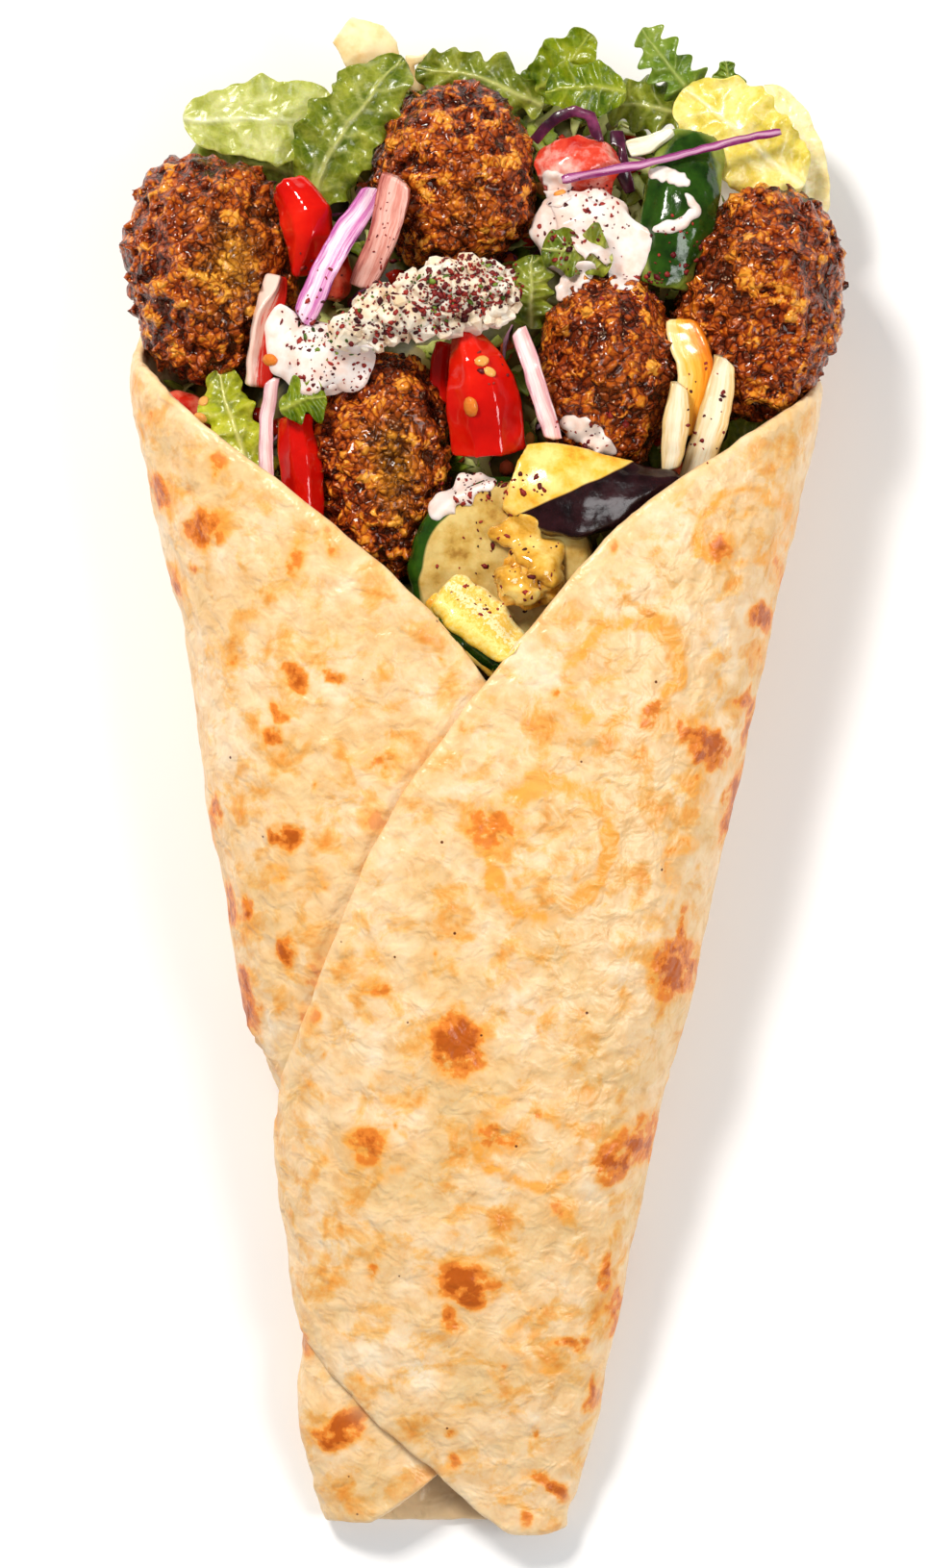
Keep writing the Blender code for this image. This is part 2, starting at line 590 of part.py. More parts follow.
def keep_out(piece):
    """A hidden copy of a piece, fattened by the clearance, that cuts what lies against it."""
    form = bmesh.new()
    form.from_mesh(piece.data)
    form.normal_update()
    moves = [v.normal * min(v.calc_shell_factor(), SHARPEST_CORNER) for v in form.verts]
    for v, move in zip(form.verts, moves):
        v.co += move * (CLEARANCE * MM)
    mesh = bpy.data.meshes.new(piece.name + ".keep_out")
    form.to_mesh(mesh)
    form.free()
    cutter = bpy.data.objects.new(mesh.name, mesh)
    bpy.context.scene.collection.objects.link(cutter)
    cutter.hide_render = True
    cutter.display_type = "WIRE"
    return cutter


def fit_together(pieces):
    """Each piece gives way to those before it in the list."""
    cutters = []
    for piece in pieces:
        near = [c for c, owner in cutters if boxes_touch(piece, owner)]
        for cutter in near:
            cut = piece.modifiers.new("clear of " + cutter.name, "BOOLEAN")
            cut.operation = "DIFFERENCE"
            cut.object = cutter
        if near:
            bpy.context.view_layer.update()
            settled(piece)
        cutters.append((keep_out(piece), piece))


def centre_on_origin(pieces):
    """Moves every piece so that the whole stands on Z = 0 with its box centred on the Z axis."""
    boxes = [box_of(p) for p in pieces]
    low = np.min([b[0] for b in boxes], axis=0)
    high = np.max([b[1] for b in boxes], axis=0)
    shift = Vector((-(low[0] + high[0]) / 2, -(low[1] + high[1]) / 2, -low[2]))
    for piece in pieces:
        piece.data.transform(Matrix.Translation(shift))


def main():
    for old in list(bpy.data.objects):
        bpy.data.objects.remove(old)
    bread = make_flatbread()
    bpy.context.view_layer.update()
    settled(bread)
    pieces = [bread]
    pieces += make_falafels()
    pieces += make_roast_and_raw_vegetables()
    pieces += make_peppers_and_tomatoes()
    pieces += make_onion_and_cabbage()
    pieces += make_leaves()
    pieces += make_sauces()
    pieces.append(make_salad_bed())
    fit_together(pieces)
    centre_on_origin(pieces)


main()
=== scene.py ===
import math

import bmesh
import bpy
import numpy as np
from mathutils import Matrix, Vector, noise
from mathutils.kdtree import KDTree


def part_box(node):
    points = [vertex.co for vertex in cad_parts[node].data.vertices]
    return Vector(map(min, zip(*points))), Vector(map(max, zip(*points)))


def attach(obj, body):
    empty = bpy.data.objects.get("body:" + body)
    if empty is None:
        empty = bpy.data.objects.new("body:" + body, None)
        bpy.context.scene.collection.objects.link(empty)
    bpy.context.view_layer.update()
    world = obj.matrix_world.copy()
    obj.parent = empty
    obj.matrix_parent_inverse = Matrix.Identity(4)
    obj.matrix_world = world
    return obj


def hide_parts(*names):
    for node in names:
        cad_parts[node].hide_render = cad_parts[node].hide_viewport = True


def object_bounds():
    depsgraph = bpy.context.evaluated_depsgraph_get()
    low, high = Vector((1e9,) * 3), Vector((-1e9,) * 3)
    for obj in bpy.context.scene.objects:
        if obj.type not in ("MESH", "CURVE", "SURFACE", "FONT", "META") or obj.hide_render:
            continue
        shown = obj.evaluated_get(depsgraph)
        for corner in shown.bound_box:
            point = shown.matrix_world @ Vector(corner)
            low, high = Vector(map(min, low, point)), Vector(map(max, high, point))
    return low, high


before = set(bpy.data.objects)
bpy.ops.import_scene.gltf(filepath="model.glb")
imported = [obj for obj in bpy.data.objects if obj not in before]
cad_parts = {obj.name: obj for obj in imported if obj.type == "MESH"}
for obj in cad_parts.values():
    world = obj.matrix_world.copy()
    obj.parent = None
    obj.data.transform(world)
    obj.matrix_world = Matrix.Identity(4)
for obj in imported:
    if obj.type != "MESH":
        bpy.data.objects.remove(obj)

CAD_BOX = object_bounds()
MM = 0.001
WRAP_MIDDLE = (np.array(CAD_BOX[0]) + np.array(CAD_BOX[1]))[:2] / 2 / MM  # seen from above
CHANCE = np.random.default_rng(31)


# ---- shared tools: shapes in millimetres, looks in real sizes ----


def linear(code):
    """An sRGB hex value as the linear colour that a shader wants."""
    parts = [int(code[i : i + 2], 16) / 255 for i in (1, 3, 5)]
    return (*[p / 12.92 if p < 0.04045 else ((p + 0.055) / 1.055) ** 2.4 for p in parts], 1)


def every(size):
    """The scale of a pattern whose features come every so many millimetres."""
    return 1 / (size * MM)


def box_of(node):
    """The lowest and highest corners of a CAD node, in millimetres."""
    return [np.array(corner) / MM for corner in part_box(node)]


def spot_on(node, across, up):
    """A place in millimetres seen from above, as shares of a CAD node's box from its lower left."""
    low, high = box_of(node)
    return low[:2] + (high - low)[:2] * (across, up)


def add(tree, kind, wires=None, stops=None, **settings):
    """Adds a shader node. wires gives inputs a number, a hex colour, a node or a node's output, stops
    fill a colour ramp, and settings are the node's own options."""
    made = tree.nodes.new("ShaderNode" + kind)
    for key, value in settings.items():
        setattr(made, key, value)
    for key, value in (wires or {}).items():
        if isinstance(value, bpy.types.Node):
            value = value.outputs[0]
        if isinstance(value, bpy.types.NodeSocket):
            tree.links.new(value, made.inputs[key])
        else:
            made.inputs[key].default_value = linear(value) if isinstance(value, str) else value
    if stops:
        ramp = made.color_ramp
        ramp.elements[0].position, ramp.elements[0].color = stops[0][0], linear(stops[0][1])
        ramp.elements[1].position, ramp.elements[1].color = stops[-1][0], linear(stops[-1][1])
        for place, code in stops[1:-1]:
            ramp.elements.new(place).color = linear(code)
    return made


def blank(name, *marks):
    """An empty material with its tree, the place on the piece in the frame's metres, and the numbers
    kept on the piece's points under those names."""
    material = bpy.data.materials.new(name)
    material.use_nodes = True
    tree = material.node_tree
    tree.nodes.remove(tree.nodes["Principled BSDF"])
    kept = [add(tree, "Attribute", attribute_name=key).outputs["Fac"] for key in marks]
    return material, tree, add(tree, "TexCoord").outputs["Object"], *kept


def surface(tree, wires):
    """The material's one shader, whose inputs the wires fill."""
    shader = add(tree, "BsdfPrincipled", wires)
    tree.links.new(shader.outputs[0], tree.nodes["Material Output"].inputs["Surface"])


def piece(name, points, faces, finish, slot, replaces=(), flat=False, **marks):
    """A shown piece of the wrap from points in millimetres, none of them below the table. marks are
    numbers kept on its points."""
    points = np.maximum(points, (-np.inf, -np.inf, 0.0))
    mesh = bpy.data.meshes.new(name)
    mesh.from_pydata((points * MM).tolist(), [], [tuple(f) for f in faces])
    mesh.validate()
    if not flat:
        mesh.shade_smooth()
    mesh.materials.append(finish)
    for key, values in marks.items():
        kept = mesh.attributes.new(key, "FLOAT", "POINT")
        kept.data.foreach_set("value", np.asarray(values, np.float32))
    made = bpy.data.objects.new(name, mesh)
    bpy.context.scene.collection.objects.link(made)
    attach(made, "root")
    if replaces:
        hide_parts(*replaces)
    return made


def arrays_of(mesh):
    """Points in millimetres, normals and faces of a mesh."""
    points = np.empty(len(mesh.vertices) * 3)
    mesh.vertices.foreach_get("co", points)
    normals = np.empty(len(mesh.vertices) * 3)
    mesh.vertices.foreach_get("normal", normals)
    return points.reshape(-1, 3) / MM, normals.reshape(-1, 3), [tuple(p.vertices) for p in mesh.polygons]


def evaluated(mesh, *modifiers):
    """The mesh after some modifiers, each a type and its settings."""
    holder = bpy.data.objects.new("holder", mesh)
    bpy.context.scene.collection.objects.link(holder)
    for kind, settings in modifiers:
        modifier = holder.modifiers.new(kind.lower(), kind)
        for key, value in settings.items():
            setattr(modifier, key, value)
    bpy.context.view_layer.update()
    graph = bpy.context.evaluated_depsgraph_get()
    result = bpy.data.meshes.new_from_object(holder.evaluated_get(graph))
    bpy.data.objects.remove(holder)
    return result


def rounded(node, voxel, rounds):
    """The CAD solid's skin as small even faces, with its edges eased: points, normals and faces."""
    remesh = ("REMESH", {"mode": "VOXEL", "voxel_size": voxel * MM})
    smooth = ("SMOOTH", {"factor": 0.5, "iterations": rounds})
    return arrays_of(evaluated(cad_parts[node].data.copy(), remesh, smooth))


def lumpy(points, size, octaves=2, seed=0.0):
    """Noise of about -1 to 1 at each point, with lumps of that size."""
    shift = Vector((seed, seed * 1.7, -seed))
    return np.array([noise.fractal(Vector(p) / size + shift, 1.0, 2.0, octaves) for p in points])


def cells(points, size):
    """For cells of that size, how far each point is from its cell's middle and from its border, and a
    number from 0 to 1 that the whole cell shares."""
    middle, border, label = [], [], []
    for p in points:
        gaps, seeds = noise.voronoi(Vector(p) / size)
        middle.append(gaps[0])
        border.append(gaps[1] - gaps[0])
        label.append((seeds[0][0] * 12.9898 + seeds[0][1] * 78.233 + seeds[0][2] * 37.719) % 1)
    return np.array(middle), np.array(border), np.array(label)


def eased(low, high, x):
    """Nought up to the first value, one from the second on and a smooth change between them."""
    t = np.clip((np.asarray(x, float) - low) / (high - low), 0, 1)
    return t * t * (3 - 2 * t)


def ball_shape(detail):
    """The corners and triangles of a ball, which scattered bits are squeezed and roughened from."""
    form = bmesh.new()
    bmesh.ops.create_icosphere(form, subdivisions=detail, radius=1.0)
    points = np.array([v.co[:] for v in form.verts])
    faces = np.array([[v.index for v in f.verts] for f in form.faces])
    form.free()
    return points, faces


SHARD, PEBBLE = ball_shape(1), ball_shape(2)
CHUNK = (np.sign(PEBBLE[0]) * abs(PEBBLE[0]) ** 0.55, PEBBLE[1])  # a pebble squared off into a curd


def facing(normals, tilt):
    """A random frame on each normal, whose third axis leans off it by about tilt radians."""
    n = normals + CHANCE.standard_normal(normals.shape) * tilt
    n /= np.linalg.norm(n, axis=1)[:, None]
    a = np.cross(n, CHANCE.standard_normal(n.shape))
    a /= np.linalg.norm(a, axis=1)[:, None]
    return np.stack([a, np.cross(n, a), n], axis=2)


def strewn(shape, spots, frames, sizes, roughness):
    """Copies of a shape at the spots, each with its own frame and size and its corners jittered: their
    points, their faces and which copy each point is of."""
    corners, faces = shape
    wobble = 1 + roughness * CHANCE.standard_normal((len(spots), len(corners), 3))
    local = corners[None] * sizes[:, None, :] * wobble
    points = spots[:, None] + np.einsum("nij,nvj->nvi", frames, local)
    shifts = (np.arange(len(spots)) * len(corners))[:, None, None]
    owner = np.repeat(np.arange(len(spots)), len(corners))
    return points.reshape(-1, 3), (faces[None] + shifts).reshape(-1, 3), owner


def joined(*parts):
    """Several lists of points and faces as one."""
    points, faces, start = [], [], 0
    for p, f in parts:
        points.append(p)
        faces += [tuple(int(i) + start for i in face) for face in f]
        start += len(p)
    return np.concatenate(points), faces


def skin_spots(points, faces, count):
    """Random places on a skin, with their faces' normals."""
    corners = np.array([f[:3] for f in faces])
    a, b, c = (points[corners[:, i]] for i in range(3))
    normals = np.cross(b - a, c - a)
    sizes = np.linalg.norm(normals, axis=1)
    chosen = CHANCE.choice(len(corners), count, p=sizes / sizes.sum())
    u, v = CHANCE.random((2, count, 1))
    u, v = np.where(u + v > 1, 1 - u, u), np.where(u + v > 1, 1 - v, v)
    spots = a[chosen] + u * (b - a)[chosen] + v * (c - a)[chosen]
    return spots, normals[chosen] / sizes[chosen][:, None]


# ---- the run of a strip or leaf, read from its CAD solid ----


class Run:
    """The middle line of a long CAD solid, with its side, up and half width at each step."""

    def __init__(self, node, steps=9, turn=False):
        points, _, faces = arrays_of(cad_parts[node].data)
        spots = skin_spots(points, faces, 2500)[0]
        middle = spots.mean(0)
        _, axes = np.linalg.eigh(np.cov((spots - middle).T))
        along = axes[:, 2] * (1 if axes[1, 2] >= 0 else -1) * (-1 if turn else 1)
        reach = (spots - middle) @ along
        low, high = np.percentile(reach, (0.5, 99.5))
        rows = []
        across = axes[:, 1] * (1 if axes[0, 1] >= 0 else -1)
        for s in np.linspace(low, high, steps):
            near = spots[abs(reach - s) < (high - low) / steps]
            centre = near.mean(0)
            centre += along * (s - (centre - middle) @ along)
            flat = near - centre
            flat = flat - np.outer(flat @ along, along)
            _, turned = np.linalg.eigh(np.cov(flat.T) + 1e-6 * np.eye(3))
            side = turned[:, 2] * (1 if turned[:, 2] @ across >= 0 else -1)
            across = side
            up = np.cross(along, side)
            if up[2] < 0:
                up = -up
            spread = np.percentile(flat @ side, (2, 98))
            deep = np.percentile(flat @ up, (3, 97))
            centre = centre + side * spread.mean() + up * deep.mean()
            rows.append([*centre, *side, *up, (spread[1] - spread[0]) / 2, (deep[1] - deep[0]) / 2])
        rows = np.array(rows)
        soft = rows.copy()
        soft[1:-1] = (rows[:-2] + 2 * rows[1:-1] + rows[2:]) / 4
        self.rows, self.length = soft, high - low

    def at(self, t):
        """Centre, side, up, half width and half depth at shares t of the length."""
        steps = np.arange(len(self.rows)) / (len(self.rows) - 1)
        values = np.stack([np.interp(t, steps, self.rows[:, i]) for i in range(11)], axis=-1)
        side, up = values[..., 3:6], values[..., 6:9]
        side = side / np.linalg.norm(side, axis=-1, keepdims=True)
        up = up / np.linalg.norm(up, axis=-1, keepdims=True)
        return values[..., 0:3], side, up, values[..., 9], values[..., 10]


def sheet_faces(rows, columns, start=0):
    """One quad for each cell of a grid of points."""
    return [
        (start + r * columns + c, start + r * columns + c + 1,
         start + (r + 1) * columns + c + 1, start + (r + 1) * columns + c)
        for r in range(rows - 1)
        for c in range(columns - 1)
    ]


def closed_grid(upper, lower):
    """A closed thin body between two grids of points."""
    rows, columns = upper.shape[:2]
    count = rows * columns
    faces = sheet_faces(rows, columns)
    faces += [tuple(reversed(f)) for f in sheet_faces(rows, columns, count)]
    rim = list(range(columns))
    rim += [r * columns + columns - 1 for r in range(1, rows)]
    rim += [(rows - 1) * columns + c for c in reversed(range(columns - 1))]
    rim += [r * columns for r in reversed(range(1, rows - 1))]
    faces += [(b, a, a + count, b + count) for a, b in zip(rim, rim[1:] + rim[:1])]
    return np.concatenate([upper.reshape(-1, 3), lower.reshape(-1, 3)]), faces


def thick_sheet(grid, ups, thickness):
    """A closed thin sheet from a grid of points and the directions out of it."""
    return closed_grid(grid + ups * thickness / 2, grid - ups * thickness / 2)


# ---- flatbread ----

# The bread's marks are placed in millimetres from the middle of the wrap, as seen from above.
# Toast marks: x, y, half width, half length, turn in degrees and strength.
TOAST_MARKS = (
    (-4.7, -48.8, 4.4, 5.6, 10, 1.0), (-3.3, -94.3, 5.4, 3.8, -10, 1.15), (-5.6, -101, 1.5, 2.6, 20, 0.8),
    (35.6, -35.2, 4.0, 5.2, -20, 1.15), (37.7, -27.0, 1.2, 4.2, -10, 0.8), (24.4, -71.5, 4.2, 3.0, 25, 1.0),
    (29.0, -68.0, 3.6, 3.6, 0, 0.95), (30.8, -64.5, 3.0, 2.4, 0, 0.7), (-21.6, -68.3, 4.0, 3.4, 0, 0.8),
    (41.5, 6.0, 4.4, 2.8, -25, 1.0), (38.5, 8.5, 3.4, 2.0, 20, 0.75), (47.2, -3.8, 2.0, 5.4, -12, 1.2),
    (45.6, -8.6, 1.6, 3.2, -10, 0.9), (-27.0, -122.4, 4.4, 2.6, 28, 1.15), (12.8, -133.6, 5.2, 1.6, -35, 0.9),
    (51.3, 30.5, 2.4, 2.2, 0, 1.1), (48.8, 14.4, 1.8, 1.6, 0, 1.0), (50.0, 9.5, 1.0, 3.2, -12, 0.9),
    (-51.0, 46.5, 4.2, 3.4, 20, 0.85), (-59.8, 53.6, 1.7, 3.8, 30, 1.0), (-57.4, 37.0, 1.3, 3.4, 12, 0.9),
    (-35.9, -10.5, 2.8, 2.4, 0, 1.05), (-38.8, 8.0, 2.0, 1.6, -20, 0.9), (-38.0, 12.5, 2.4, 1.4, -30, 0.8),
    (-34.4, 18.9, 3.6, 1.3, -55, 0.8), (-27.4, 19.2, 1.6, 1.4, 0, 0.75), (-47.5, -22.9, 1.3, 3.6, 15, 1.05),
    (-43.9, -24.4, 1.2, 2.8, 20, 0.9), (-49.4, -6.0, 1.0, 2.8, 10, 0.95), (-43.4, -44.5, 2.2, 4.8, 12, 1.1),
    (-36.6, -31.6, 2.2, 2.4, 30, 0.9), (-31.4, -36.3, 2.0, 1.6, 0, 0.85), (-44.4, -37.2, 1.8, 2.2, 0, 1.0),
    (-20.0, -8.0, 3.0, 2.2, 0, 0.6), (-19.4, 3.4, 4.6, 2.6, 0, 0.45), (17.4, -105.8, 3.0, 1.2, -10, 0.85),
    (22.9, -92.6, 1.2, 3.8, -8, 0.85), (25.2, -97.5, 1.1, 2.4, -8, 0.8), (-20.0, -38.0, 2.4, 1.8, 0, 0.6),
    (-33.6, -106.0, 1.3, 2.6, 15, 0.95), (14.0, -81.8, 3.0, 1.1, 0, 0.65), (20.4, -115.5, 1.2, 3.4, -10, 0.8),
    (24.5, -102.5, 0.9, 3.0, -8, 0.8), (1.8, -8.6, 5.0, 4.6, 30, 0.62), (3.6, -66.6, 5.0, 2.6, -15, 0.66),
    (32.0, 12.0, 3.4, 2.2, 30, 0.6), (29.0, 4.0, 2.0, 3.0, 0, 0.45), (-46.4, 22.6, 2.2, 1.6, 0, 0.5),
    (37.0, -12.8, 3.6, 1.6, 20, 0.5), (-30.0, -18.0, 2.6, 2.0, 0, 0.5), (18.2, -88.6, 1.6, 1.4, 0, 0.5),
)
# Golden rings round old blisters: x, y, half width, half length, turn and strength.
BLISTER_RINGS = (
    (12.0, -12.6, 10.5, 12.6, -24, 1.0), (8.4, -68.0, 10.0, 7.4, -18, 0.7), (26.0, 19.8, 11.0, 8.6, 30, 0.62),
    (48.0, 47.0, 9.4, 6.4, 12, 0.75), (-21.4, -69.0, 8.0, 5.6, 0, 0.35), (18.0, -104.0, 12.0, 8.0, 10, 0.4),
)
# Creases in the shown side: start x, y, end x, y and depth.
CREASES = (
    (17, -54.5, 36, -58.5, 0.9), (-16, -4.6, -9.5, -9.6, 0.8), (-31, -99, -10, -104, 0.4),
    (0, -99, 22, -107, 0.45), (-16, -38, 2, -30, 0.3), (2, -1, 22, 4, 0.35), (-50, 30, -34, 22, 0.4),
    (-44, 0, -24, 6, 0.35), (-24, -84, -4, -80, 0.35), (8, -118, 22, -112, 0.4), (20, 30, 40, 38, 0.35),
)
RAGGED_FOLD, RAGGED_REACH = (-43, -49), (5, 11)  # the torn fold beside the inner flap
HIDDEN_MARKS = 44  # toast marks on the back and the flanks, strewn evenly
SMALL_MARKS = 130  # faint golden freckles on the shown side
RIM_WIDTH = 2.4


def toast_fields(points, outward):
    """How toasted and how golden the bread is at each point."""
    warped = points + 1.5 * np.stack([lumpy(points, 5, 3, s) for s in (11.0, 12.0, 13.0)], 1)
    patchy = eased(-0.25, 0.45, lumpy(points, 9, 2, 4.4))
    toast, gold = np.zeros(len(points)), np.zeros(len(points))
    shown = eased(-0.35, 0.05, outward[:, 2])
    for marks, rings in ((TOAST_MARKS, False), (BLISTER_RINGS, True)):
        for x, y, half, long, turn, strength in marks:
            dx, dy = (warped[:, :2] - WRAP_MIDDLE - (x, y)).T
            c, s = math.cos(math.radians(turn)), math.sin(math.radians(turn))
            away = np.hypot((dx * c + dy * s) / half, (dy * c - dx * s) / long)
            if rings:
                band = np.exp(-(((away - 1) / 0.17) ** 2)) * (0.5 + 0.6 * patchy)
                gold = np.maximum(gold, shown * strength * band)
            else:
                toast = np.maximum(toast, shown * strength * np.exp(-(away**3) * 0.6))
    low, high = points.min(0), points.max(0)
    for _ in range(HIDDEN_MARKS):
        spot = low + CHANCE.random(3) * (high - low) * (1, 1, 0.55)
        size = 2.0 + 5.0 * CHANCE.random() ** 2
        away = np.linalg.norm((warped - spot) / (1, 1 + CHANCE.random(), 1.6), axis=1) / size
        toast = np.maximum(toast, (1 - shown) * (0.7 + 0.5 * CHANCE.random()) * np.exp(-(away**2)))
    for _ in range(SMALL_MARKS):
        spot = low + CHANCE.random(3) * (high - low)
        size = 0.8 + 1.6 * CHANCE.random() ** 2
        away = np.hypot((warped[:, 0] - spot[0]) / size, (warped[:, 1] - spot[1]) / size / 1.5)
        toast = np.maximum(toast, shown * (0.35 + 0.4 * CHANCE.random()) * np.exp(-(away**2)))
    return toast, gold


def bread_skin():
    """The bread's CAD sheet with soft round edges, finer on its outside: its points, normals and faces,
    and how far each point is from the sheet's rim."""
    form = bmesh.new()
    form.from_mesh(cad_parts["flatbread"].data)
    bmesh.ops.remove_doubles(form, verts=form.verts, dist=1e-6)
    rim = [e for e in form.edges if len(e.link_faces) == 2 and e.calc_face_angle() > 0.9]
    tree = KDTree(len(rim) * 8)
    for i, edge in enumerate(rim):
        a, b = (v.co / MM for v in edge.verts)
        for k in range(8):
            tree.insert(a.lerp(b, k / 8), i * 8 + k)
    tree.balance()
    bmesh.ops.join_triangles(form, faces=form.faces, angle_face_threshold=0.7, angle_shape_threshold=3.1)
    mesh = bpy.data.meshes.new("sheet")
    form.to_mesh(mesh)
    form.free()
    mesh = evaluated(mesh, ("SUBSURF", {"levels": 2, "render_levels": 2}))
    form = bmesh.new()
    form.from_mesh(mesh)
    axis = roll_axis()
    middles = {f: f.calc_center_median() / MM for f in form.faces}
    outer = [f for f in form.faces if f.normal.dot(middles[f] - axis(middles[f].y)) > 0]
    edges = list({e for f in outer for e in f.edges})
    bmesh.ops.subdivide_edges(form, edges=edges, cuts=1, use_grid_fill=True)
    form.to_mesh(mesh)
    form.free()
    points, normals, faces = arrays_of(mesh)
    away = np.array([tree.find(Vector(p))[2] for p in points])
    return points, normals, faces, away


def roll_axis():
    """The line up the middle of the roll, as a function of y in millimetres."""
    points = arrays_of(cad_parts["flatbread"].data)[0]
    ys = np.linspace(points[:, 1].min(), points[:, 1].max(), 24)
    step = ys[1] - ys[0]
    near = [points[abs(points[:, 1] - y) < step] for y in ys]
    xs = [(p[:, 0].min() + p[:, 0].max()) / 2 for p in near]
    zs = [0.42 * p[:, 2].max() for p in near]
    return lambda y: Vector((np.interp(y, ys, xs), y, np.interp(y, ys, zs)))


def bread_relief(points, outward):
    """Height of the bread's creases, blisters and pits at each point."""
    flat = points * (1, 1, 0.6)
    shown = outward[:, 2] > 0
    plan = points[:, :2] - WRAP_MIDDLE
    # Broad waves and dimples, then sharp creases about 6 mm apart and fine wrinkles about 2 mm apart.
    height = 0.6 * lumpy(flat, 26, 2) + 0.42 * lumpy(flat, 9, 2, 3.1)
    crease = 1 - abs(lumpy(flat * (1, 0.7, 1), 6.5, 3, 7.7))
    height += 0.75 * (crease - 0.75)
    wrinkle = 1 - abs(lumpy(flat * (1.2, 0.8, 1), 2.4, 2, 1.3))
    height += 0.16 * (wrinkle - 0.75)
    for x, y, half, long, _, strength in BLISTER_RINGS:
        away = np.hypot(*((plan - (x, y)) / (half, long)).T)
        height += 0.5 * strength * (1 - eased(0.6, 1.2, away)) * shown
    for x, y, half, long, _, strength in TOAST_MARKS:
        away = np.hypot(*((plan - (x, y)) / (half * 1.1, long * 1.1)).T)
        height += 0.3 * strength * np.exp(-(away**2)) * shown
    sway = 0.8 * lumpy(points, 7, 1, 6.0)
    # A crease is a narrow groove with a soft swell along one side of it.
    for x0, y0, x1, y1, depth in CREASES:
        run = np.array([x1 - x0, y1 - y0])
        long = np.linalg.norm(run)
        bent = plan + sway[:, None] - (x0, y0)
        along = np.clip(bent @ run / long**2, 0, 1)
        off = np.linalg.norm(bent - along[:, None] * run, axis=1)
        signed = (bent[:, 1] * run[0] - bent[:, 0] * run[1]) / long
        fade = np.sin(np.pi * np.clip(along, 0.05, 0.95)) * shown
        height += depth * fade * (0.8 * np.exp(-(((signed - 1.3) / 1.1) ** 2)) - np.exp(-((off / 0.7) ** 2)))
    torn = np.exp(-(((plan - RAGGED_FOLD) / RAGGED_REACH) ** 2).sum(1))
    height += torn * (1.0 * lumpy(points, 3.2, 2, 5.5) + 0.2) * (outward[:, 2] > -0.3)
    return height


def make_flatbread(finish):
    """The rolled sheet, blistered and creased out from the roll's middle line and flat on the table."""
    points, normals, faces, away = bread_skin()
    axis = roll_axis()
    middles = np.array([axis(p[1]) for p in points])
    radial = points - middles
    radial /= np.linalg.norm(radial, axis=1)[:, None]
    outside = eased(-0.3, 0.3, (normals * radial).sum(1))
    outward = radial * (1, 0.2, 1)
    toast, gold = toast_fields(points, outward)
    grounded = eased(0.3, 3.0, points[:, 2])
    height = bread_relief(points, outward)
    slim = 1 - 0.25 * np.exp(-((away / 1.6) ** 2))
    moved = points + radial * (height * grounded * slim)[:, None]
    ragged = np.exp(-((away / 2.5) ** 2)) * 0.45
    moved[:, 0] += ragged * lumpy(points, 7, 2, 9.0) * grounded
    moved[:, 1] += ragged * lumpy(points, 6, 2, 4.0)
    moved[:, 2] = np.maximum(moved[:, 2], points[:, 2].min())
    rim = np.exp(-((away / RIM_WIDTH) ** 2))
    piece("flatbread_skin", moved, faces, finish, "baked_flatbread", ["flatbread"],
          toast=toast, gold=gold, rim=rim, outside=outside)


